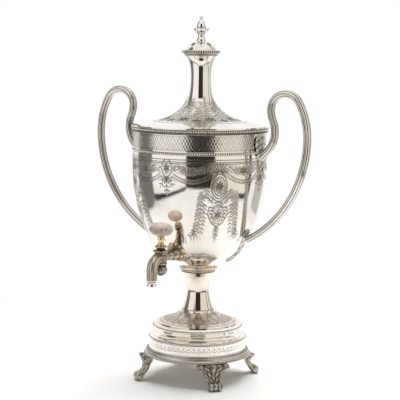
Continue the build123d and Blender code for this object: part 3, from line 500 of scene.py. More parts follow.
def bead_row(name, node_name, body, radius, size=BEAD_SIZE, step=BEAD_STEP):
    """A row of round beads, half sunk in the wall that carries them, in place of a plain bead ring."""
    _, low, high = span(node_name)
    count = int(round(tau * radius / step))
    unit, unit_faces = ball(size)
    parts = []
    for turn in np.arange(count) * tau / count:
        moved = unit + np.array([radius * cos(turn), radius * sin(turn), (low + high) / 2])
        # Each bead's inner side, where it sinks into the wall, is painted dark as shade.
        out = (moved[:, 0] * cos(turn) + moved[:, 1] * sin(turn) - radius) / size
        parts.append((moved, unit_faces, np.clip(1.1 - 2.4 * out, 0.0, 1.0)))
    points, faces, dark = joined(parts)
    add_piece(name, points, faces, "silver_soft", body, [node_name], dark)


def bead_shade(outside, node_name, segments):
    """Painted shade on the wall behind a bead row, for an outside line."""
    _, low, high = span(node_name)
    near = np.abs(outside[:, 1] - (low + high) / 2) < (high - low) / 2
    near &= outside[:, 0] > outside[:, 0].max() - 1.2
    return np.repeat(near[:, None].astype(float), segments, axis=1)


# Ornament: strokes drawn in millimetres on the unrolled wall, cut as dark grooves

class Drawing:
    """Strokes on a wall that repeats every period millimetres, and the groove depth they leave."""

    def __init__(self, period):
        self.period = period
        self.strokes = []

    def stroke(self, points, width, mirror=True):
        """A line of one width through points, and its mirror image in x where asked for."""
        points = [(float(x), float(z)) for x, z in points]
        self.strokes.append((points, width))
        if mirror:
            self.strokes.append(([(-x, z) for x, z in points], width))

    def line(self, height, width):
        """A line right round the wall."""
        self.stroke([(k * self.period / 8, height) for k in range(9)], width, False)

    def dot(self, x, z, size, mirror=True):
        """A round dot."""
        self.stroke([(x, z), (x + 0.01, z)], size, mirror)

    def ellipse(self, x, z, across, high, width, mirror=True):
        """An oval line round its middle."""
        turns = [tau * k / 36 for k in range(37)]
        self.stroke([(x + across * cos(t), z + high * sin(t)) for t in turns], width, mirror)

    def flower(self, x, z, reach, petals, width, mirror=True):
        """Pointed petals round a small centre."""
        def at(share, turn):
            return (x + share * reach * cos(turn), z + share * reach * sin(turn))

        self.ellipse(x, z, 0.22 * reach, 0.22 * reach, width, mirror)
        lean = 0.6 * pi / petals
        for k in range(petals):
            turn = tau * k / petals + pi / 2
            for side in (turn - lean, turn + lean):
                self.stroke([at(0.24, turn), at(0.62, side), at(1.0, turn)], width, mirror)

    def branch(self, points, leaf, step, mirror=True):
        """A stem with pairs of leaves along it, each a short cut."""
        places = smooth_line(points, 40)
        self.stroke(places[::3], 0.3, mirror)
        length = float(np.linalg.norm(np.diff(places, axis=0), axis=1).sum())
        for k in range(int(length / step)):
            index = min(38, int(39 * k * step / length))
            ahead = places[index + 1] - places[index]
            heading = atan2(ahead[1], ahead[0])
            for lean in (-0.85, 0.85):
                cut = leaf * np.array([cos(heading + lean), sin(heading + lean)])
                self.stroke([places[index] + 0.25 * cut, places[index] + cut], 0.9, mirror)

    def swag(self, first, last, drop):
        """A hanging double line with beads between its lines."""
        half_gap = 2.1
        shares = np.linspace(0, 1, 25)[:, None]
        middle = np.array(first, float) + (np.array(last, float) - np.array(first, float)) * shares
        middle[:, 1:] -= 4 * drop * shares * (1 - shares)
        self.stroke(offset(middle, -half_gap), 0.75)
        self.stroke(offset(middle, half_gap), 0.75)
        for x, z in middle[1:-1]:
            self.dot(x, z, 1.15)

    def depth(self, columns, heights, soft=0.45):
        """The strokes' strength, 0 to 1, at each row's height and each column of one period."""
        field = np.zeros((len(heights), columns))
        order = np.argsort(heights)
        sorted_heights = heights[order]
        pitch = self.period / columns
        for points, width in self.strokes:
            reach = width / 2 + soft
            for (ax, az), (bx, bz) in zip(points, points[1:]):
                low = np.searchsorted(sorted_heights, min(az, bz) - reach)
                high = np.searchsorted(sorted_heights, max(az, bz) + reach)
                rows = order[low:high]
                first = int(np.floor((min(ax, bx) - reach) / pitch))
                last = int(np.ceil((max(ax, bx) + reach) / pitch))
                if len(rows) == 0 or last - first > columns:
                    continue
                place = np.arange(first, last + 1)
                x = place * pitch
                z = heights[rows][:, None]
                dx, dz = bx - ax, bz - az
                share = ((x - ax) * dx + (z - az) * dz) / max(dx * dx + dz * dz, 1e-9)
                share = np.clip(share, 0, 1)
                away = np.hypot(x - ax - share * dx, z - az - share * dz)
                cell = np.ix_(rows, place % columns)
                field[cell] = np.maximum(field[cell], np.clip((reach - away) / (soft * 1.2), 0, 1))
        return field


def repeated(field, times):
    """The same columns again, a number of times round the wall."""
    return np.tile(field, (1, times))


# Bowl, frieze band and mouldings

def bowl_line(count):
    """The bowl's outside from the joint down to its foot, as in the CAD."""
    shares = [(1.0, 1.0), (0.997, 0.8), (0.976, 0.68), (0.942, 0.58), (0.90, 0.475), (0.843, 0.378),
              (0.77, 0.272), (0.683, 0.165), (0.56, 0.095), (0.415, 0.041)]
    depth = Z_JOINT - Z_BOWL
    points = [(BOWL_RADIUS * r, Z_BOWL + depth * z) for r, z in shares]
    points.append((BOWL_FOOT_RADIUS, Z_BOWL))
    return smooth_line(points, count, (0, -1), (-1, -0.18))


bowl_outside = bowl_line(400)


def bowl_radius(height):
    """The bowl's outer radius at a height."""
    return float(np.interp(height, bowl_outside[::-1, 1], bowl_outside[::-1, 0]))


def bowl_slope(height):
    """How the bowl's radius grows with height, and the length of its wall for each millimetre of height."""
    slope = (bowl_radius(height + 1) - bowl_radius(height - 1)) / 2
    return slope, sqrt(1 + slope * slope)


def outside_radius(height):
    """The urn's wall that a strap or leaf lies on."""
    if height >= Z_JOINT:
        return BAND_RADIUS
    return bowl_radius(height)


def bowl_drawing():
    """The engraving on a quarter of the bowl: ovals, swags, sprays and laurel, by height over the joint."""
    art = Drawing(tau * BOWL_RADIUS / 4)
    half = art.period / 2
    middle = half / 2
    small, large, shield = -16.5, -39.5, -78.0

    def beside(points):
        """Points by how far left of the large oval's middle they lie."""
        return [(half - x, z) for x, z in points]

    for height, width in ((-5.2, 0.9), (-8.4, 0.9), (-10.4, 0.6)):
        art.line(height, width)
    art.ellipse(0, small, 7.4, 11.4, 1.1, False)
    art.flower(0, small, 5.4, 6, 0.9, False)
    art.ellipse(half, large, 10.6, 16.2, 1.1, False)
    art.ellipse(half, large, 7.9, 12.6, 0.9, False)
    art.flower(half, large, 6.4, 8, 1.0, False)
    for k in range(-4, 5):
        turn = pi / 2 + k * 0.30
        ends = (4.0, 16.0 - 0.9 * abs(k))
        art.stroke([(half + reach * cos(turn), reach * sin(turn) - 24.0) for reach in ends], 1.1, False)
    art.swag((8.0, small - 8.5), (half - 4.5, -20.0), 12.0)
    art.flower(middle, -19.5, 6.2, 6, 1.0)
    for way in (-1, 1):
        art.branch([(middle + 5 * way, -22), (middle + 11 * way, -19), (middle + 17 * way, -15)], 4.6, 4.2)
    for lean, reach in ((0.0, 23.0), (0.62, 18.0), (1.20, 15.0)):
        x, z = reach * sin(lean), reach * cos(lean)
        art.branch([(0, small - 12), (x * 0.55, small - 12 - z * 0.5), (x, small - 12 - z)], 4.6, 5.6)
    art.stroke(beside([(11, -52.5), (4, -58.5), (-6, -61.5)]), 1.2)
    art.stroke(beside([(9, -61.5), (15, -54.5), (22, -52.5)]), 1.2)
    art.stroke(beside([(13, -67), (15, -77), (9, -89), (0, -95)]), 1.1)
    art.stroke(beside([(0, -64), (7, -68), (13, -67)]), 1.1)
    art.flower(half, shield, 6.0, 6, 0.9, False)
    art.branch(beside([(0, -95), (0, -103), (0, -113)]), 5.0, 4.4, False)
    for points, leaf, step in (
            ([(9, -71), (10, -78), (5, -87)], 3.6, 4.6),
            ([(24, -50.5), (26, -69.5), (30, -89.5), (36, -117.5)], 6.8, 4.6),
            ([(19, -63.5), (21, -85.5), (26, -111.5)], 4.2, 5.4),
            ([(34, -99.5), (46, -111.5), (60, -115.5)], 5.4, 5.0)):
        art.branch(beside(points), leaf, step)
    return art


def bowl_ground():
    """Where the bowl's ground is chased with fine leaves, as broad strokes by height over the joint."""
    ground = Drawing(tau * BOWL_RADIUS / 4)
    half = ground.period / 2
    for points, width in (
            ([(12, -16), (half / 2, -21), (half - 12, -16)], 9.0),
            ([(0, -12), (0, -21)], 6.0),
            ([(half - 11, -16), (half + 11, -16)], 12.0),
            ([(half, -33), (half, -46)], 9.0),
            ([(half - 17, -48), (half - 10, -58)], 7.0),
            ([(half, -70), (half, -84)], 17.0),
            ([(half - 24, -51), (half - 30, -88), (half - 36, -108)], 6.5),
            ([(half, -95), (half, -112)], 6.5)):
        ground.stroke(points, width)
    return ground


def make_bowl():
    """The bowl, engraved and chased alike in its four quarters, with a plain inside."""
    segments = 640
    engraved_depth = 112
    low_row = np.searchsorted(-bowl_outside[:, 1], engraved_depth - Z_JOINT)
    outside = np.concatenate([
        smooth_line(bowl_outside[:low_row + 1:12], 108), smooth_line(bowl_outside[low_row:], 17)[1:]])
    heights = outside[:, 1] - Z_JOINT
    depth = repeated(bowl_drawing().depth(segments // 4, heights), 4)
    ground = repeated(bowl_ground().depth(segments // 4, heights, 3.0), 4)
    inside = offset(bowl_line(15), WALL)[:-1][::-1]
    inside = np.concatenate([[(1.0, Z_BOWL), (1.0, Z_BOWL + WALL), (21.0, Z_BOWL + WALL)],
                             inside[inside[:, 1] > Z_BOWL + 2 * WALL]])
    inside[-1] = (BOWL_RADIUS - WALL, Z_JOINT)
    turned("bowl_shell", outside, inside, segments, "silver_plate", "urn", ["bowl"],
           relief=depth * GROOVE, dark=depth, worked=ground * 0.6)


def make_band():
    """The band, with a lattice of crossed arches and florets between two lines."""
    cells, columns = 66, 16
    art = Drawing(tau * BAND_RADIUS / cells)
    half = art.period / 2
    low, high = Z_JOINT + 5.0, Z_BAND_TOP - 2.0
    middle = (low + high) / 2
    reach = (high - low) / 2 - 3.4
    art.line(low + 1.6, 0.6)
    art.line(high - 1.4, 0.6)
    for low_end in (middle - reach, middle):
        art.stroke([(0, low_end), (half, low_end + reach)], 0.45)
        art.stroke([(0, low_end + reach), (half, low_end)], 0.45)
    art.dot(0, middle, 1.7, False)
    for way in (-1, 1):
        art.dot(half, middle + way * reach, 1.5, False)
        art.stroke([(0, middle + way * (reach + 1.9)), (half * 0.5, middle + way * (reach + 0.9)),
                    (half, middle + way * reach)], 0.5)
    outside = np.linspace((BAND_RADIUS, Z_BAND_TOP), (BAND_RADIUS, Z_JOINT - 4), 46)
    inside = np.linspace((BAND_RADIUS - WALL, Z_JOINT - 4), (BAND_RADIUS - WALL, Z_BAND_TOP), 5)
    depth = repeated(art.depth(columns, outside[:, 1], 0.3), cells)
    ground = np.zeros(depth.shape)
    ground[(outside[:, 1] > Z_JOINT + 7) & (outside[:, 1] < Z_BAND_TOP - 4)] = 0.15
    turned("frieze_shell", outside, inside, cells * columns, "silver_plate", "urn", ["frieze_band"],
           relief=depth * GROOVE, dark=depth * 0.62, worked=ground)


def ring(name, node_name, outline, segments, material, body):
    """A turned moulding from its closed outline: eased corners, and painted shade in the recess that holds
    beads.
    """
    recess = (3, 4)
    ease = 0.22
    outline = np.array(outline, float)
    eased = []
    for index, corner in enumerate(outline):
        ways = [outline[index - 1] - corner, outline[(index + 1) % len(outline)] - corner]
        cut = min(ease, *[0.3 * np.linalg.norm(way) for way in ways])
        eased += [corner + way / np.linalg.norm(way) * cut for way in ways]
    eased = np.array(eased)
    # The recessed wall that holds the beads is painted dark, as shade.
    shaded_recess = np.repeat([index in recess for index in range(len(outline))], 2)
    dark = np.repeat(shaded_recess[:, None], segments, axis=1)
    turned(name, eased, eased[:0], segments, material, body, [node_name], dark=dark, crease=60.0)


def make_mouldings():
    """The rim and joint mouldings, each with its bead row."""
    bore, outer, band = MOUTH_RADIUS, RIM_RADIUS - 1.0, BAND_RADIUS
    ring("rim_ring", "rim_moulding", [
        (bore, Z_RIM_TOP), (RIM_RADIUS, Z_RIM_TOP), (RIM_RADIUS, Z_RIM_TOP - 1.0), (outer, Z_RIM_TOP - 1.0),
        (outer, Z_BAND_TOP - 1.5), (outer - 0.5, Z_BAND_TOP - 2.0), (band, Z_BAND_TOP - 2.0),
        (band, Z_BAND_TOP), (bore, Z_BAND_TOP)], 360, "silver_plate", "urn")
    bead_row("rim_beads", "rim_bead", "urn", outer)
    strip, low, high = span("joint_moulding")
    ring("joint_strip", "joint_moulding", [
        (band, high), (strip - 0.2, high), (strip, high - 1.0), (strip - 0.35, high - 1.3),
        (strip - 0.35, low + 1.3), (strip, low + 1.0), (strip - 0.2, low), (band, low)],
        360, "silver_plate", "urn")
    bead_row("joint_beads", "joint_bead", "urn", strip)


# Lid

def lid_line(count):
    """The lid's outside from its edge up to its collar, as in the CAD."""
    width = LID_RADIUS - LID_NECK_RADIUS
    height = Z_LID_TOP - Z_RIM_TOP
    shape = [(0.78, 0.045), (0.58, 0.071), (0.42, 0.107), (0.30, 0.155), (0.165, 0.242), (0.066, 0.352),
             (0.016, 0.48), (0.0, 0.62)]
    points = [(LID_RADIUS, Z_RIM_TOP + 1.2)]
    points += [(LID_NECK_RADIUS + width * r, Z_RIM_TOP + height * z) for r, z in shape]
    points += [(LID_NECK_RADIUS + 0.4, Z_RIM_TOP + 0.77 * height),
               (LID_NECK_RADIUS + 2.7, Z_RIM_TOP + 0.875 * height), (LID_TOP_RADIUS, Z_LID_TOP)]
    return smooth_line(points, count)


def lid_drawing():
    """Foliage on the lid's flare, by how far up its side it lies."""
    mean_radius, low, tall = 40.0, 30.0, 60.0
    art = Drawing(tau * mean_radius / 8)
    half = art.period / 2
    art.line(low, 0.9)
    art.line(low + 2.4, 0.7)
    art.flower(0, low + 0.30 * tall, 6.4, 6, 1.1, False)
    art.flower(half, low + 0.22 * tall, 6.0, 6, 1.1, False)
    art.branch([(0, low + 5), (0, low + 0.5 * tall), (0, low + tall)], 5.6, 5.0, False)
    art.branch([(half, low + 0.34 * tall), (half, low + 0.6 * tall), (half, low + 0.78 * tall)], 5.6, 5.0,
               False)
    art.branch([(4, low + 6), (half * 0.42, low + 0.16 * tall), (half * 0.55, low + 0.36 * tall),
                (half * 0.34, low + 0.55 * tall)], 5.4, 4.8)
    return art


def make_lid():
    """The lid's shell with its foliage, and its collar with a bead row."""
    segments = 560
    outside = lid_line(124)[::-1]
    lengths = lengths_along(outside)
    up = lengths[-1] - lengths
    depth = repeated(lid_drawing().depth(segments // 8, up), 8)
    depth[outside[:, 1] > Z_LID_TOP - 3.5] = 0.7
    ground = np.zeros(depth.shape)
    ground[(up > 36) & (up < 84)] = 0.5
    seat = MOUTH_RADIUS - 0.4 - 2 * WALL
    lower = np.array([(LID_RADIUS, Z_RIM_TOP + 0.9), (LID_RADIUS, Z_RIM_TOP + 0.1),
                      (LID_RADIUS - 0.2, Z_RIM_TOP), (seat, Z_RIM_TOP)])
    inner = offset(lid_line(26), -WALL)[4:-1]
    inside = np.concatenate([lower, inner, [(LID_TOP_RADIUS - 1.4 * WALL, Z_LID_TOP)]])
    turned("lid_cover", outside, inside, segments, "silver_plate", "lid", ["lid_shell"],
           relief=depth * GROOVE, dark=depth, worked=ground)
    collar, low, high = span("lid_collar")
    neck = collar - 1.2
    ring("lid_collar_ring", "lid_collar", [
        (LID_BORE, high), (collar, high), (collar, high - 0.75), (neck, high - 0.75),
        (neck, low + 0.75), (collar, low + 0.75), (collar, low), (LID_BORE, low)],
        240, "silver_soft", "lid")
    bead_row("lid_collar_beads", "lid_collar_bead", "lid", neck, size=1.18)


# Stem and plinth

def stem_line(count):
    """The stem's outside from its collar down to its foot, as in the CAD."""
    height = Z_STEM_TOP - Z_TIER_TOP
    shape = [(3.2, 0.885), (0.6, 0.74), (0.0, 0.64), (1.2, 0.49), (3.6, 0.365), (7.4, 0.25), (13.0, 0.17),
             ((STEM_FOOT_RADIUS - STEM_WAIST + 13.0) / 2, 0.085)]
    points = [(STEM_TOP_RADIUS, Z_STEM_TOP)]
    points += [(STEM_WAIST + out, Z_TIER_TOP + share * height) for out, share in shape]
    points.append((STEM_FOOT_RADIUS, Z_TIER_TOP + WALL))
    return smooth_line(points, count)


def stem_drawing():
    """Foliage on the stem's foot, by how far up its side it lies."""
    mean_radius = 34.0
    art = Drawing(tau * mean_radius / 12)
    half = art.period / 2
    for height, width in ((3.0, 0.8), (5.0, 0.6), (38.0, 0.6)):
        art.line(height, width)
    art.branch([(0, 6.5), (0, 18), (0, 33)], 5.6, 3.6, False)
    art.branch([(half, 6.5), (half, 14), (half, 24)], 4.6, 3.2, False)
    art.stroke([(2, 8), (half * 0.62, 15), (half * 0.5, 26), (0, 35)], 0.9)
    return art


def make_stem():
    """The trumpet stem, with foliage on its foot."""
    segments = 480
    outside = stem_line(132)
    lengths = lengths_along(outside)
    up = lengths[-1] - lengths
    depth = repeated(stem_drawing().depth(segments // 12, up), 12)
    ground = np.zeros(depth.shape)
    ground[(up > 8) & (up < 34)] = 0.4
    edge, low = STEM_FOOT_RADIUS, Z_TIER_TOP
    inside = np.concatenate([[(edge, low + 0.3), (edge - 0.3, low), (49.5, low)],
                             offset(stem_line(16), WALL)[1:-2][::-1], [(STEM_TOP_RADIUS - WALL, Z_STEM_TOP)]])
    turned("stem_trumpet", outside, inside, segments, "stem_plate", "urn", ["stem"],
           relief=depth * GROOVE, dark=depth * 0.85, worked=ground)


def make_collar():
    """The stem collar: a round bulge over a bead row."""
    low, high = span("stem_collar")[1:]
    segments, bore = 240, 18.0
    bulge = smooth_line([(COLLAR_BEAD_RADIUS, low + 3.8), (26.4, low + 4.6), (27.3, low + 5.9),
                         (26.5, low + 7.2), (24.5, high - 0.8)], 16)
    outside = np.concatenate([raised([(23.7, 0), (23.8, 0.2), (23.8, 0.6), (23.3, 0.75)], low), bulge,
                              [(24.3, high - 0.5), (24.4, high)]])[::-1]
    # The wall under the bead row is painted dark, as shade.
    bead_shade_rows = np.abs(outside[:, 1] - low - 0.8) < 1.0
    dark = np.repeat(bead_shade_rows[:, None].astype(float), segments, axis=1)
    turned("collar_ring", outside, np.linspace((bore, low), (bore, high), 3), segments, "worn_plate", "urn",
           ["stem_collar"], dark=dark)
    bead_row("collar_beads", "stem_collar_bead", "urn", COLLAR_BEAD_RADIUS, FINE_BEAD_SIZE, FINE_BEAD_STEP)


def make_base_moulding():
    """The reeded moulding under the drum, with dark lines in its quirks and painted shade behind its beads.
    """
    radius, low, high = span("base_moulding")
    drum = span("lower_tier")[0]
    segments, reed_count = 720, 180
    cove = smooth_line([(radius, low + 2.6), (radius - 1.6, low + 4.0), (drum + 3.5, high)], 14)
    outside = np.concatenate([[(radius - 0.2, low), (radius, low + 0.2), (radius, low + 2.4)], cove])[::-1]
    reeds = np.zeros((len(outside), segments))
    reeds[1:13] = 0.5 - 0.5 * np.cos(np.arange(segments) * tau / segments * reed_count)
    # Painted shade behind the beads, and dark lines in the quirks.
    shade_and_quirks = bead_shade(outside, "base_moulding_bead", segments)
    shade_and_quirks[(0, 4, 8, 12), :] = 1.0
    shade_and_quirks[(1, 2, 3, 5, 6, 7), :] = 0.12
    turned("plinth_moulding", outside, np.linspace((PLINTH_BORE, low), (PLINTH_BORE, high), 3), segments,
           "silver_soft", "urn", ["base_moulding"], relief=reeds * 0.3, dark=np.maximum(shade_and_quirks, reeds * 0.2))
    bead_row("plinth_beads", "base_moulding_bead", "urn", radius, FINE_BEAD_SIZE, FINE_BEAD_STEP)


def make_drum():
    """The drum, with a row of dots over scallops between two lines."""
    drum, low, top = span("lower_tier")[0], span("base_moulding")[2], span("lower_tier")[2]
    cells, columns = 60, 13
    art = Drawing(tau * drum / cells)
    half = art.period / 2
    middle = (low + top) / 2
    art.line(low + 1.8, 0.7)
    art.line(top - 3.4, 0.7)
    art.dot(0, middle + 1.4, 1.9, False)
    art.stroke([(0, middle - 2.6), (half * 0.6, middle - 2.0), (half, middle)], 0.3)
    edge = [(TIER_BORE, top), (drum - 1.2, top), (drum - 0.9, top - 0.1)]
    wall = np.linspace((drum, top - 1.0), (drum, low), 44)
    outside = np.concatenate([edge, wall])
    depth = np.zeros((len(outside), cells * columns))
    depth[len(edge):] = repeated(art.depth(columns, wall[:, 1]), cells)
    inside = np.array([(drum - WALL, low), (drum - WALL, top - 1.0 - WALL), (drum - 1.0 - WALL, top - WALL),
                       (TIER_BORE, top - WALL)])
    worked = np.full(depth.shape, 0.18)
    worked[:len(edge) + 1] = 0.0
    # The wall behind the beads is painted dark, as shade.
    dark = np.maximum(depth * 0.6, bead_shade(outside, "lower_tier_bead", cells * columns))
    turned("plinth_drum", outside, inside, cells * columns, "silver_plate", "urn", ["lower_tier"],
           relief=depth * GROOVE, dark=dark, worked=worked)
    bead_row("drum_beads", "lower_tier_bead", "urn", drum)


def make_tier():
    """The upper tier: a rim that carries the stem, over a hollow cavetto."""
    rim, low, top = span("upper_tier")
    segments = 360
    rim_low = top - 5.6
    cavetto = smooth_line([(53.1, rim_low), (51.5, (low + rim_low) / 2 + 1), (54.5, low + 2.6),
                           (61.5, low + 0.8)], 26)
    outside = np.concatenate([
        [(TIER_BORE, top), (rim - 0.3, top)], np.linspace((rim, top - 0.3), (rim, rim_low + 0.3), 12),
        [(rim - 0.3, rim_low), (53.3, rim_low)], cavetto, [(61.5, low + 0.2), (61.3, low)]])
    # The wall behind the beads is painted dark, as shade.
    turned("plinth_tier", outside, np.array([(TIER_BORE, low)]), segments, "silver_plate", "urn",
           ["upper_tier"], dark=bead_shade(outside, "upper_tier_bead", segments))
    bead_row("tier_beads", "upper_tier_bead", "urn", rim)


# Handles

def arc_path(start, heading, arcs):
    """Points from a start and a heading in degrees, along arcs of (radius, turn in degrees)."""
    step = 1.6
    places = [np.array(start, float)]
    heading = radians(heading)
    for radius, turn in arcs:
        turn = radians(turn)
        reach = radius if turn > 0 else -radius
        centre = places[-1] + reach * np.array([-sin(heading), cos(heading)])
        count = max(4, int(radius * abs(turn) / step))
        for angle in heading + turn * np.arange(1, count + 1) / count:
            places.append(centre - reach * np.array([-sin(angle), cos(angle)]))
        heading += turn
    return places


def handle_places():
    """The strap's middle line, as in the CAD: a root, arcs over the loop and one long arc to the bowl."""
    root_high = Z_RIM_TOP - 30.1
    places = [np.array([BAND_RADIUS + s, root_high - 11.5 + s]) for s in (0.0, 2.3, 4.6, 6.9, 9.2)]
    arcs = [(36.0, 68.7), (39.8, -23.7), (21.5, -150.0), (98.0, -30.0)]
    places += arc_path((BAND_RADIUS + 11.5, root_high), 45.0, arcs)
    start = places[-1]
    landing = offset(bowl_outside, -5.0)[256]
    chord = start - landing
    radius = (chord @ chord) / (2 * chord[0])
    centre = start - np.array([radius, 0.0])
    last = atan2(landing[1] - centre[1], landing[0] - centre[0])
    for angle in np.linspace(0.0, last, 96)[1:]:
        places.append(centre + radius * np.array([cos(angle), sin(angle)]))
    return np.array(places)


def reed_section(turns):
    """A reeded oval's (thickness, width) for each turn, and the dirt and painted shade in its grooves."""
    reeds, groove = 8, 1.1
    half_thickness, half_width = 5.0, 7.25
    wave = np.abs(np.sin(turns * reeds / 2))
    rise = groove * (wave ** 0.5 - 1.0)
    deep = (half_thickness + rise) * np.cos(turns)
    wide = (half_width + rise) * np.sin(turns)
    return deep, wide, np.clip(1.25 - wave * 2.2, 0.0, 1.0)


def make_handle(name, side):
    """A handle's reeded strap, whose ends stay just outside the urn's wall."""
    path = handle_places()
    normal = normals(path)
    columns = 144
    deep, wide, dirt_and_shade = reed_section(np.arange(columns) * tau / columns)
    points = np.zeros((len(path), columns, 3))
    points[:, :, 0] = path[:, None, 0] + normal[:, None, 0] * deep
    points[:, :, 1] = wide
    points[:, :, 2] = path[:, None, 1] + normal[:, None, 1] * deep
    for row in np.flatnonzero(path[:, 0] < BAND_RADIUS + 12):
        wall = np.array([outside_radius(z) + 0.9 for z in points[row, :, 2]])
        room = np.sqrt(np.maximum(wall ** 2 - points[row, :, 1] ** 2, 0))
        points[row, :, 0] = np.maximum(points[row, :, 0], room)
    faces = [face[::-1] for face in grid_faces(len(path), columns, False, True)]
    total = len(path) * columns
    last = total - columns
    for j in range(columns):
        following = (j + 1) % columns
        faces.append([following, j, total])
        faces.append([last + j, last + following, total + 1])
    caps = [points[0].mean(axis=0), points[-1].mean(axis=0)]
    # The strap's end caps, against the urn's wall, are painted half dark as shade.
    dark = np.concatenate([np.tile(dirt_and_shade, len(path)), [0.5, 0.5]])
    points, faces = mirrored(np.concatenate([points.reshape(-1, 3), caps]), faces, side)
    add_piece(name + "_strap", points, faces, "reeded_silver", "urn", [name], dark)


def leaf_sheet(rows, columns, width_at, rise_at, place_at, back_at=None):
    """A closed leaf: a worked front over a plain back, from functions of share along and share across."""
    back_at = back_at or (lambda along, across: place_at(along, across, 0.0))
    front = np.zeros((rows, columns, 3))
    back = np.zeros((rows, columns, 3))
    dark = np.zeros((2 * rows, columns))
    for i in range(rows):
        along = i / (rows - 1)
        width = width_at(along)
        for j in range(columns):
            across = 2 * j / (columns - 1) - 1
            rise, dark[i, j] = rise_at(along, across)
            front[i, j] = place_at(along, across * width, rise)
            back[i, j] = back_at(along, across * width)
    count = rows * columns
    points = np.concatenate([front, back]).reshape(-1, 3)
    faces = grid_faces(rows, columns, False, False)
    faces += [[corner + count for corner in face[::-1]] for face in faces]
    index = np.arange(count).reshape(rows, columns)
    edge = np.concatenate([index[:, 0], index[-1, 1:], index[-2::-1, -1], index[0, -2:0:-1]]).tolist()
    for first, second in zip(edge, edge[1:] + edge[:1]):
        faces.append([second, first, first + count, second + count])
    return points, faces, dark.reshape(-1)


def acanthus_rise(thickness, lobes):
    """The relief of an acanthus leaf: a rib, leaflets that sweep to the edge, and dark creases."""
    def rise(along, across):
        sweep = along * lobes - 0.9 * abs(across)
        crease = abs(sin(pi * sweep)) ** 0.55
        rib = np.exp(-(across / 0.13) ** 2)
        body = 0.55 + 0.45 * (1 - across ** 2)
        height = thickness * (body * (0.62 + 0.38 * crease) + 0.26 * rib * (1 - 0.5 * along))
        dirt_and_shade = np.clip(1.05 - 1.25 * crease, 0, 1) * (1 - rib)
        groove = np.exp(-((abs(across) - 0.2) / 0.06) ** 2)
        return height * (0.55 + 0.45 * (1 - across ** 8)), float(np.clip(dirt_and_shade + 0.7 * groove, 0, 1))
    return rise


def lobed_width(outline, lobes):
    """Half the leaf's width along it, with a notch between leaflets."""
    shares, widths = zip(*outline)
    depth = 0.16

    def width(along):
        plain = float(np.interp(along, shares, widths))
        notch = abs(sin(pi * (along * lobes - 0.9))) ** 0.5
        return max(0.15, plain * (1 - depth + depth * notch))
    return width


def on_upper_wall(height, across, rise):
    """A leaf's place on the upper body, where it also clears the joint moulding."""
    radius = max(outside_radius(height), bowl_radius(height)) + 0.05 + rise
    if abs(height - Z_JOINT - 2.5) < 4.0:
        radius = max(radius, BAND_RADIUS + 0.8)
    turn = across / BAND_RADIUS
    return (radius * cos(turn), radius * sin(turn), height)


def on_bowl(height, across, rise):
    """A leaf's place on the bowl, raised square to its wall."""
    radius = bowl_radius(height)
    slope, length = bowl_slope(height)
    out = radius + (0.05 + rise) / length
    turn = across / radius
    return (out * cos(turn), out * sin(turn), height - (0.05 + rise) * slope / length)


def make_hanging_leaf(name, side, widths, lobes, thickness, grid, place_on):
    """An acanthus leaf from a node's top to its tip, with its widths as shares of half the node's."""
    low, high = corners(name)

    def place(along, across, rise):
        return place_on(high.z + (low.z - high.z) * along, across, rise)

    outline = [(share, width * high.y) for share, width in widths] + [(1.0, 0.3)]
    points, faces, dark = leaf_sheet(
        *grid, lobed_width(outline, lobes), acanthus_rise(thickness, lobes), place)
    points, faces = mirrored(points, faces, side)
    add_piece(name + "_acanthus", points, faces, "cast_silver", "urn", [name], dark=dark)


def make_handle_leaf(name, side):
    """The acanthus leaf at a handle's upper end."""
    widths = [(0.0, 0.72), (0.10, 0.95), (0.22, 1.0), (0.4, 0.86), (0.62, 0.52), (0.85, 0.22)]
    make_hanging_leaf(name, side, widths, 6.0, 3.7, (64, 41), on_upper_wall)


def make_tongue(name, side):
    """The leaf tongue at a handle's lower end."""
    widths = [(0.0, 0.70), (0.16, 1.0), (0.36, 0.86), (0.62, 0.5), (0.85, 0.2)]
    make_hanging_leaf(name, side, widths, 5.0, 2.7, (52, 33), on_bowl)


# Feet

def foot_lines(count):
    """The front and back of a foot seen from the side, as pairs of points from its top to its sole."""
    shin = [(76.2, FOOT_TOP), (78.6, 27.5), (77.2, 20.5), (79.3, 14.4), (FOOT_REACH, TOE_CENTRE + TOE)]
    shin = smooth_line(shin, 200)
    turns = np.linspace(pi / 2, -pi / 2, 90)[1:]
    toe = np.stack([FOOT_REACH + TOE * np.cos(turns), TOE_CENTRE + TOE * np.sin(turns)], axis=1)
    front = smooth_line(np.concatenate([shin[::20], toe[::10]]), count)
    back = smooth_line([(66.0, FOOT_TOP), (68.2, 22.5), (73.3, 8.5), (78.3, 2.2), (FOOT_REACH, -0.4)], count)
    return front, back


def foot_width(along):
    """Half the foot's width: side lobes at the top, a calf, and the scroll toe."""
    shares = [0.0, 0.05, 0.12, 0.17, 0.22, 0.40, 0.56, 1.0]
    widths = [21.0, 23.0, 22.0, 18.0, 14.6, 11.0, 8.75, 8.75]
    return float(np.interp(along, shares, widths))


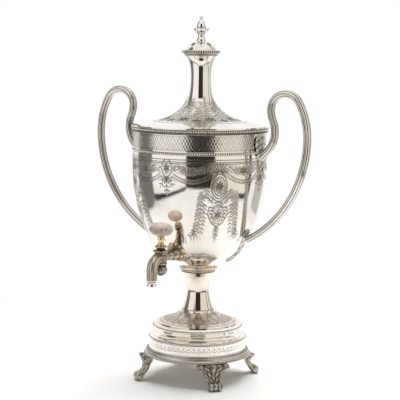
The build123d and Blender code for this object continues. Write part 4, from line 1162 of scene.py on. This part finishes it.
def foot_rise(along, across):
    """Acanthus relief on the shin, curled lobes at the top corners and ribs over the toe."""
    toe = np.clip((along - 0.56) / 0.08, 0, 1)
    ribs = abs(cos(1.5 * pi * across)) ** 0.7
    sweep = along * 6.0 + 1.7 * abs(across) ** 1.2
    crease = abs(sin(pi * sweep)) ** 0.5
    midrib = np.exp(-(across / 0.12) ** 2)
    edge = np.exp(-((abs(across) - 0.84) / 0.12) ** 2)
    leaf = -1.5 + 0.7 * crease + 1.5 * midrib + 1.0 * edge
    lobe = np.exp(-((along - 0.075) / 0.05) ** 2) * np.exp(-((abs(across) - 0.85) / 0.14) ** 2)
    rise = (1 - toe) * leaf + toe * (-0.9 + 0.9 * ribs) + 1.8 * lobe
    trough = np.exp(-((abs(across) - 0.22) / 0.07) ** 2) + np.exp(-((abs(across) - 0.62) / 0.06) ** 2)
    dirt_and_shade = (1 - toe) * (1.0 - 1.0 * crease + 0.9 * trough) * (1 - midrib) + toe * (1.25 - 1.5 * ribs)
    return rise, float(np.clip(dirt_and_shade, 0, 1))


def lug_slab():
    """The flat lug under the base plate, as a ring of quads between its edge and its screw hole."""
    count = 32
    middle = (LUG_NEAR + LUG_FAR) / 2
    turns = [tau * k / count for k in range(count)]

    def edge(height):
        places = []
        for turn in turns:
            reach = max(abs(cos(turn)) / ((LUG_FAR - LUG_NEAR) / 2), abs(sin(turn)) / LUG_HALF)
            places.append((middle + cos(turn) / reach, sin(turn) / reach, height))
        return places

    def hole(height):
        return [(SCREW_CIRCLE + SCREW_HOLE * cos(turn), SCREW_HOLE * sin(turn), height) for turn in turns]

    low = FOOT_TOP - LUG_THICKNESS
    points = np.array([edge(FOOT_TOP), hole(FOOT_TOP), hole(low), edge(low)]).reshape(-1, 3)
    return points, grid_faces(4, count, True, True), np.full(len(points), 0.4)


def make_foot(name, angle):
    """A foot: an acanthus leaf over a scroll toe, with the lug that its screw goes through."""
    rows, columns = 96, 49
    front, back = foot_lines(rows)
    out = normals(front)

    def drawn_in(row, place, across, share):
        """A point moved by a share towards the foot's middle, kept between the table and the foot's top."""
        x, z = place + ((front[row] + back[row]) / 2 - place) * share
        return (x, across, min(max(z, 0.0), FOOT_TOP))

    def front_at(along, across, rise):
        row = int(round(along * (rows - 1)))
        edge = abs(across) / foot_width(along)
        return drawn_in(row, front[row] + out[row] * rise, across, 0.55 * edge ** 5)

    def back_at(along, across):
        row = int(round(along * (rows - 1)))
        edge = abs(across) / foot_width(along)
        return drawn_in(row, back[row], across, 0.25 + 0.4 * edge ** 3)

    parts = [leaf_sheet(rows, columns, foot_width, foot_rise, front_at, back_at)]
    unit, unit_faces = ball(1.0, 10, 18)
    dirt_and_shade = np.clip(0.75 - np.abs(unit[:, 1]), 0, 1)
    for side in (-1, 1):
        for x, y, z, size, flat in ((FOOT_REACH, 8.6, TOE_CENTRE, 4.3, 1.3), (75.6, 20.6, 30.4, 2.9, 2.2)):
            parts.append((unit * np.array([size, flat, size]) + np.array([x, side * y, z]), unit_faces, dirt_and_shade))
    parts.append(lug_slab())
    points, faces, dark = joined(parts)
    turn = radians(angle)
    x, y, z = points.T
    spun = np.stack([x * cos(turn) - y * sin(turn), x * sin(turn) + y * cos(turn), z], axis=1)
    add_piece(name + "_acanthus", spun, faces, "foot_silver", "urn", [name], dark)


# Tap

def tube_along(path, radius_at, columns):
    """A bored tube along points in 3-D, whose outer radius and its dirt and painted shade depend on share
    along and turn.
    """
    path = np.asarray(path, float)
    ahead = directions(path)
    side = np.array([1.0, 0.0, 0.0])
    turns = np.arange(columns) * tau / columns

    def circle(index, radii):
        up = np.cross(side, ahead[index])
        return [path[index] + r * (cos(turn) * side + sin(turn) * up) for turn, r in zip(turns, radii)]

    rows = []
    dark = []
    for index in range(len(path)):
        found = [radius_at(index / (len(path) - 1), turn) for turn in turns]
        rows.append(circle(index, [radius for radius, _ in found]))
        dark.append([dirt_and_shade for _, dirt_and_shade in found])
    # The bore's inside is painted dark, as shade.
    for index in range(len(path) - 1, -1, -6):
        rows.append(circle(index, [WATER_BORE] * columns))
        dark.append([0.8] * columns)
    points = np.array(rows).reshape(-1, 3)
    return points, grid_faces(len(rows), columns, True, True), np.array(dark).reshape(-1)


def spout_places():
    """The spout's middle line: out of the housing, over a bend and straight down."""
    run, bend, drop = 8.5, 14.5, 12.0
    top = Z_TAP - 1.2
    places = [(0.0, -TAP_REACH - s, top) for s in np.linspace(0, run, 8)]
    for turn in np.linspace(0, pi / 2, 26)[1:]:
        places.append((0.0, -TAP_REACH - run - bend * sin(turn), top - bend + bend * cos(turn)))
    for s in np.linspace(0, drop, 14)[1:]:
        places.append((0.0, -TAP_REACH - run - bend, top - bend - s))
    return places


def fluted_spout(along, turn):
    """The spout's radius, with flutes along it, and the dirt and painted shade in the flutes."""
    wave = abs(sin(4.0 * turn)) ** 0.7
    swell = 0.35 * sin(pi * min(1.0, along * 1.4))
    return 6.45 + 0.5 * wave + swell, float(np.clip(1.1 - 1.5 * wave, 0, 1))


def leafy_arm(along, turn):
    """The arm's girth with acanthus leaves that sweep towards the housing."""
    shares = [0.0, 0.22, 0.45, 0.72, 1.0]
    girth = float(np.interp(along, shares, [10.8, 10.6, 8.9, 6.6, 6.2]))
    leaf = abs(sin(3.0 * turn)) ** 0.6
    sweep = abs(sin(pi * (along * 4.0 - 0.5 * leaf))) ** 0.6
    dirt_and_shade = np.clip(1.15 - 1.1 * sweep, 0, 1) * 0.8 + np.clip(1.0 - 1.8 * leaf, 0, 1) * 0.7
    return girth * (0.93 + 0.05 * leaf + 0.05 * sweep), float(np.clip(dirt_and_shade, 0, 1))


def threaded_shank(along, turn):
    """The shank's radius, with a screw thread, and the dirt and painted shade in the thread."""
    wave = 0.5 + 0.5 * cos(tau * along * 18 + turn)
    return 6.1 + 0.4 * wave, 0.5 * (1 - wave)


def make_arm(wall):
    """The arm from the bowl's wall to the housing, trimmed to the wall's curve."""
    path = [(0.0, -u, Z_TAP) for u in np.linspace(wall - 10, TAP_REACH - 4, 72)]
    points, faces, dark = tube_along(path, leafy_arm, 72)
    for index, (x, y, z) in enumerate(points):
        points[index, 1] = min(y, -sqrt(max(bowl_radius(z) ** 2 - x * x, 0.0)) - 1.0)
    return points, faces, dark


def make_housing():
    """The upright barrel that the plug turns in."""
    columns, seat = 72, 5.65
    outline = [(seat, 16.3), (8.1, 16.3), (8.4, 15.6), (8.7, 14.8), (8.4, 14.1), (7.7, 13.4), (7.9, 12.3),
               (8.2, 8.0), (7.9, 5.0), (7.7, 2.7), (8.0, 2.0), (8.5, 1.2), (8.3, 0.5), (7.6, 0.0),
               (seat, 0.0)]
    profile = raised(outline, Z_TAP - 10.0)
    points = turned_points(profile, columns, centre=TAP_AXIS)
    # Darker where the barrel narrows and inside its seat: dirt and painted shade.
    dirt_and_shade = [np.clip((8.15 - radius) / 0.5, 0, 1) if radius > 6 else 0.6 for radius, _ in outline]
    return points.reshape(-1, 3), grid_faces(len(profile), columns, True, True), np.repeat(dirt_and_shade, columns)


def make_tap_body():
    """The tap's casting: arm, spout, threaded shank, and housing with two flowers."""
    wall = bowl_radius(Z_TAP)
    shank = [(0.0, -u, Z_TAP) for u in np.linspace(wall - 24, wall - 1, 60)]
    parts = [make_arm(wall), tube_along(spout_places(), fluted_spout, 88),
             tube_along(shank, threaded_shank, 36), make_housing()]
    parts += [flower_boss(turn, Z_TAP - 3.2) for turn in (-55, -125)]
    points, faces, dark = joined(parts)
    add_piece("tap_casting", points, faces, "tap_silver", "urn", ["tap_body"], dark)


def flower_boss(angle, height):
    """A small round flower on the housing's wall."""
    turn = radians(angle)
    out = np.array([cos(turn), sin(turn), 0.0])
    beside = np.array([-sin(turn), cos(turn), 0.0])
    up = np.array([0.0, 0.0, 1.0])
    centre = np.array([0.0, -TAP_REACH, height]) + out * (HOUSING - 1.4)
    columns = 48
    profile = [(0.0, 3.0), (0.9, 2.9), (1.4, 2.3), (2.1, 2.5), (3.1, 2.6), (3.9, 2.1), (4.1, 1.0), (4.0, 0.0),
               (0.0, 0.0)]
    points = []
    dark = []
    for row, (radius, rise) in enumerate(profile):
        for k in range(columns):
            petal = abs(sin(4 * tau * k / columns)) ** 0.5
            reach = radius * (0.86 + 0.14 * petal) if radius > 1.5 else radius
            lift = rise * (0.7 + 0.3 * petal) if 1.2 < radius < 4.05 and rise > 1.5 else rise
            angle_here = tau * k / columns
            points.append(centre + out * lift + (beside * cos(angle_here) + up * sin(angle_here)) * reach)
            dark.append(np.clip(1.0 - 1.4 * petal, 0, 1) if 1.2 < radius < 4.0 else 0.0)
    return np.array(points), grid_faces(len(profile), columns, False, True), np.array(dark)


def make_escutcheon():
    """The leafy rosette that carries the tap's arm on the bowl."""
    rings, columns = 26, 96
    hole, reach = 6.55, 15.0
    front = np.zeros((rings, columns, 3))
    back = np.zeros((rings, columns, 3))
    dark = np.zeros((2 * rings, columns))
    for i in range(rings):
        share = i / (rings - 1)
        for k in range(columns):
            turn = tau * k / columns
            petal = abs(sin(4 * turn)) ** 0.5
            out = hole + (reach * (0.90 + 0.10 * petal) - hole) * share
            x, z = out * cos(turn), Z_TAP + out * sin(turn)
            radius = bowl_radius(z)
            slope, length = bowl_slope(z)
            ripple = abs(sin(pi * (share * 2.6 - 0.35 * petal))) ** 0.6
            rise = 0.05 + (0.9 + 1.1 * petal * (1 - 0.5 * share) + 0.6 * ripple) * (1 - share ** 6)
            base = np.array([x, -sqrt(radius ** 2 - x * x), z])
            normal = np.array([base[0] / radius, base[1] / radius, -slope]) / length
            front[i, k] = base + normal * rise
            back[i, k] = base + normal * 0.02
            dark[i, k] = np.clip(1.2 - 0.8 * petal - 0.6 * ripple, 0, 1)
    points = np.concatenate([front, back[::-1]]).reshape(-1, 3)
    add_piece("tap_rosette", points, grid_faces(2 * rings, columns, True, True), "cast_worn", "urn",
              ["tap_escutcheon"], dark.reshape(-1))


def make_plug():
    """The turned plug with its flanges, and the tail that takes the nut."""
    plug = [(0.0, 9.0), (6.6, 9.0), (7.3, 8.7), (7.8, 7.8), (7.7, 7.0), (7.2, 6.1), (6.6, 5.7), (5.5, 5.3),
            (5.2, 4.4), (5.4, 3.6), (6.6, 3.1), (9.2, 3.0), (9.9, 2.7), (10.3, 1.9), (10.25, 1.1),
            (9.8, 0.4), (9.0, 0.0), (5.6, 0.0), (5.6, -16.6), (3.0, -16.6), (3.0, -25.5), (0.0, -25.5)]
    columns = 96
    dark = np.zeros((len(plug), columns))
    for row, (radius, height) in enumerate(plug):
        pocket = 1.0 if 3.2 < height < 5.9 else 0.25
        dark[row] = pocket if radius > 3 else 0.2
    turned_solid("tap_key_plug", raised(plug, Z_TAP + 6.4), columns, "tap_silver", "tap_key", ["tap_plug"],
                 dark=dark, centre=TAP_AXIS)


def make_neck():
    """The turned brass neck that carries the knob."""
    neck = [(0.0, 25.0), (2.0, 25.0), (2.0, 12.7), (3.6, 12.6), (4.4, 11.9), (4.6, 10.9), (4.1, 10.2),
            (4.5, 8.6), (4.4, 7.2), (3.7, 5.6), (3.5, 4.2), (3.9, 2.8), (4.7, 2.2), (4.8, 1.2), (4.6, 0.0),
            (0.0, 0.0)]
    turned_solid("tap_neck", raised(neck, corners("tap_key_neck")[0].z), 64, "brass", "tap_key",
                 ["tap_key_neck"], centre=TAP_AXIS)


def make_grip():
    """The knob, a slightly squared and uneven ball as wide as its node."""
    low, high = corners("tap_knob")
    unit, faces = ball(1.0, 48, 72)
    lumps = 1.0 + 0.012 * np.sin(7 * unit[:, 0] + 3 * unit[:, 2]) * np.cos(6 * unit[:, 1] - 4 * unit[:, 2])
    points = np.sign(unit) * np.abs(unit) ** 0.94 * lumps[:, None] * np.array((high - low) / 2) * 0.985
    points += np.array([*TAP_AXIS, (low.z + high.z) / 2])
    add_piece("tap_grip", points, faces, "knob_bone", "tap_key", ["tap_knob"])


def make_tail_nut():
    """The bulb-shaped nut on the plug's tail."""
    low, high = span("tap_tail_nut")[1:]
    tall = high - low
    columns = 72
    bulb = [(0.0, high), (6.0, high), (6.4, high - 0.4)]
    bulb += smooth_line([(7.2, high - 1.4), (8.7, high - 0.42 * tall), (6.3, low + 0.18 * tall),
                         (3.4, low + 0.06 * tall), (2.6, low)], 22).tolist()
    bulb.append((0.0, low))
    dark = np.zeros((len(bulb), columns))
    for row, (_, height) in enumerate(bulb):
        dark[row] = 0.95 if height > high - 1.5 or height < low + 0.25 * tall else 0.55
    turned_solid("tap_bulb", bulb, columns, "cast_silver", "tap_key", ["tap_tail_nut"], dark=dark,
                 centre=TAP_AXIS)


def make_spout_ring():
    """The turned ring at the spout's end."""
    near, far = corners("tap_spout_ring")
    low, high = near.z, far.z
    columns = 72
    outside = np.array([(6.7, high), (6.75, high - 0.6), (6.3, high - 1.3), (5.9, high - 1.9),
                        (5.75, high - 3.2), (5.75, high - 4.6), (6.0, high - 5.8), (6.5, high - 6.5),
                        (6.8, high - 7.1), (6.7, low + 0.35), (6.3, low + 0.05), (5.6, low), (4.6, low + 0.1),
                        (4.1, low + 0.5)])
    dark = np.zeros((len(outside), columns))
    dark[2:4] = 0.9
    turned("tap_spout_lip", outside, np.linspace((WATER_BORE, low + 1.5), (WATER_BORE, high), 4), columns,
           "silver_plate", "urn", ["tap_spout_ring"], dark=dark, centre=(0.0, (near.y + far.y) / 2))


def make_finial():
    """The finial: a small knob, a bud, a petalled cup, a stem with its foot and a screw below."""
    outline = [(0.0, 34.0), (1.3, 33.65), (2.2, 32.7), (2.5, 31.5), (2.2, 30.3), (1.7, 29.58), (1.9, 28.9),
               (3.4, 27.2), (5.0, 25.16), (6.0, 22.44), (6.4, 19.72), (6.5, 17.68), (7.6, 17.51),
               (10.2, 17.34), (11.0, 16.83), (10.9, 15.81), (10.0, 13.94), (8.4, 11.73), (6.3, 9.86),
               (5.2, 8.5), (4.6, 6.8), (4.7, 5.1), (5.6, 3.4), (6.5, 2.21), (6.6, 1.02), (6.5, 0.0),
               (1.5, 0.0), (1.5, -5.6), (0.0, -5.6)]
    columns = 96
    petals = np.abs(np.sin(6 * np.arange(columns) * tau / columns)) ** 0.6
    relief = np.zeros((len(outline), columns))
    dark = np.zeros((len(outline), columns))
    relief[15:20] = 0.30 * (1 - petals)
    dark[15:20] = 0.6 * np.clip(1 - 1.4 * petals, 0, 1)
    dark[11:13] = 0.9
    dark[5] = 0.8
    turned_solid("finial_bud", raised(outline, corners("vent_cap")[1].z), columns, "silver_plate", "lid",
                 ["finial"], relief, dark=dark)


# Camera, floor and light

def make_camera():
    """The camera, with the turn, pitch, roll and lens that fit the photo."""
    turn, pitch, roll = radians(CAMERA_TURN), radians(CAMERA_PITCH), radians(CAMERA_ROLL)
    right = Vector((cos(turn), sin(turn), 0))
    ahead = Vector((-sin(turn) * cos(pitch), cos(turn) * cos(pitch), -sin(pitch)))
    up = right.cross(ahead)
    lean_right = right * cos(roll) + up * sin(roll)
    lean_up = up * cos(roll) - right * sin(roll)
    data = bpy.data.cameras.new("camera")
    data.lens = LENS
    data.sensor_width = 36.0
    data.clip_end = 20.0
    camera = bpy.data.objects.new("camera", data)
    place = right * CAMERA_ASIDE + Vector((sin(turn), -cos(turn), 0)) * CAMERA_DISTANCE
    place.z = CAMERA_HEIGHT
    matrix = Matrix((lean_right, lean_up, -ahead)).transposed().to_4x4()
    matrix.translation = place * MM
    camera.matrix_world = matrix
    bpy.context.scene.collection.objects.link(camera)
    bpy.context.scene.camera = camera


def direction(azimuth):
    """A level unit vector at an angle to the right of the camera's own side of the urn."""
    turn = radians(CAMERA_TURN - 90 + azimuth)
    return Vector((cos(turn), sin(turn), 0))


def seen_directly(tree):
    """One for what the camera, a polished face or glass sees, and nothing for light on a matt face."""
    path = node(tree, "LightPath").outputs
    glossy = calculate(tree, "ADD", path["Is Camera Ray"], path["Is Glossy Ray"])
    return calculate(tree, "ADD", glossy, path["Is Transmission Ray"])


def quad(name, places, material):
    """A flat panel of the studio between four corners."""
    mesh = bpy.data.meshes.new(name)
    mesh.from_pydata(places, [], [(0, 1, 2, 3)])
    panel = bpy.data.objects.new(name, mesh)
    bpy.context.scene.collection.objects.link(panel)
    panel.data.materials.append(material)
    return panel


def studio_panel(name, first, last, low, high, colour):
    """An upright panel that only polished faces see, between two places given as azimuth and distance."""
    near = direction(first[0]) * first[1]
    far = direction(last[0]) * last[1]
    places = [near + Vector((0, 0, low)), far + Vector((0, 0, low)), far + Vector((0, 0, high)),
              near + Vector((0, 0, high))]
    material = new_material(name, {"Base Color": (0, 0, 0), "Specular IOR Level": 0.0,
                                   "Emission Color": colour, "Emission Strength": 1.0})[0]
    panel = quad(name, places, material)
    panel.visible_camera = False
    panel.visible_shadow = False
    panel.visible_diffuse = False
    panel.visible_transmission = False


def make_floor():
    """A pale floor that keeps the shadow near the urn and fades to the white of the backdrop."""
    half, drop = 6.0, -0.0005
    fade_start, fade_end = 0.16, 0.62
    material, tree, shader = new_material("floor", {
        "Base Color": (0.955, 0.95, 0.935), "Roughness": 0.9, "Specular IOR Level": 0.0})
    length = node(tree, "VectorMath", {0: frame_place(tree)}, operation="LENGTH").outputs["Value"]
    away = node(tree, "MapRange", {"From Min": fade_start, "From Max": fade_end, "Value": length},
                interpolation_type="SMOOTHSTEP").outputs["Result"]
    glow = node(tree, "Emission", {"Strength": seen_directly(tree)}).outputs["Emission"]
    blend = node(tree, "MixShader", {0: away, 1: shader.outputs["BSDF"], 2: glow}).outputs["Shader"]
    put(tree, tree.nodes["Material Output"].inputs["Surface"], blend)
    quad("floor", [(half * x, half * y, drop) for x, y in ((-1, -1), (1, -1), (1, 1), (-1, 1))], material)


def make_world():
    """A white room that is plainly white to look at and gentler as a light."""
    world = bpy.data.worlds.new("studio")
    bpy.context.scene.world = world
    world.use_nodes = True
    tree = world.node_tree
    background = tree.nodes["Background"]
    put(tree, background.inputs["Color"], WHITE)
    strength = calculate(tree, "MAXIMUM", seen_directly(tree), ROOM_LIGHT)
    put(tree, background.inputs["Strength"], strength)


def make_studio():
    """White and dark panels round the urn, as its polished faces show them, and a softbox above."""
    edge = 0.052
    for name, first, last, low, high, colour in (
            ("card_white", (-82, 0.64), (-21.5, 0.86), edge, 1.7, WHITE),
            ("card_white_foot", (-82, 0.635), (-21.5, 0.855), 0.0, edge, SLATE),
            ("card_dark", (-21.5, 0.86), (25, 0.86), 0.03, 1.05, SHADE),
            ("card_cream", (25, 0.86), (88, 0.70), edge, 1.7, CREAM),
            ("card_cream_foot", (25, 0.855), (88, 0.695), 0.0, edge, SLATE),
            ("card_grey_left", (-82, 0.64), (-122, 0.74), 0.0, 1.3, (0.20, 0.20, 0.20)),
            ("card_line_right", (88, 0.70), (94, 0.70), 0.0, 1.3, SLATE),
            ("card_grey_right", (108, 0.74), (140, 0.80), 0.0, 1.3, (0.58, 0.57, 0.55))):
        studio_panel(name, first, last, low, high, colour)
    data = bpy.data.lights.new("softbox", "AREA")
    data.size = 2.2
    data.energy = SOFTBOX_POWER
    lamp = bpy.data.objects.new("softbox", data)
    lamp.location = direction(160) * 0.5 + Vector((0, 0, 2.0))
    aim = Vector((0, 0, 0.1)) - lamp.location
    lamp.rotation_euler = aim.to_track_quat("-Z", "Y").to_euler()
    lamp.visible_glossy = False
    bpy.context.scene.collection.objects.link(lamp)


def dress_cad_nodes():
    """Gives every CAD node the material of its slot, for those that stay in view."""
    slots = {part["node"]: part["material_slot"] for part in frame["record"]["subparts"]}
    for name, item in frame["nodes"].items():
        item.data.materials.clear()
        item.data.materials.append(materials["vent_silver" if name == "vent_cap" else slots[name]])


dress_cad_nodes()
make_camera()
make_floor()
make_world()
make_studio()
make_bowl()
make_band()
make_mouldings()
make_lid()
make_stem()
make_collar()
make_base_moulding()
make_drum()
make_tier()
for end, side in (("right", 1), ("left", -1)):
    make_handle("handle_" + end, side)
    make_handle_leaf("handle_leaf_" + end, side)
    make_tongue("handle_tongue_" + end, side)
for foot, angle in (("front_left", 225), ("front_right", 315), ("back_right", 45), ("back_left", 135)):
    make_foot("foot_" + foot, angle)
make_tap_body()
make_escutcheon()
make_plug()
make_neck()
make_grip()
make_tail_nut()
make_spout_ring()
make_finial()

scene = bpy.context.scene
scene.view_settings.view_transform = "Standard"
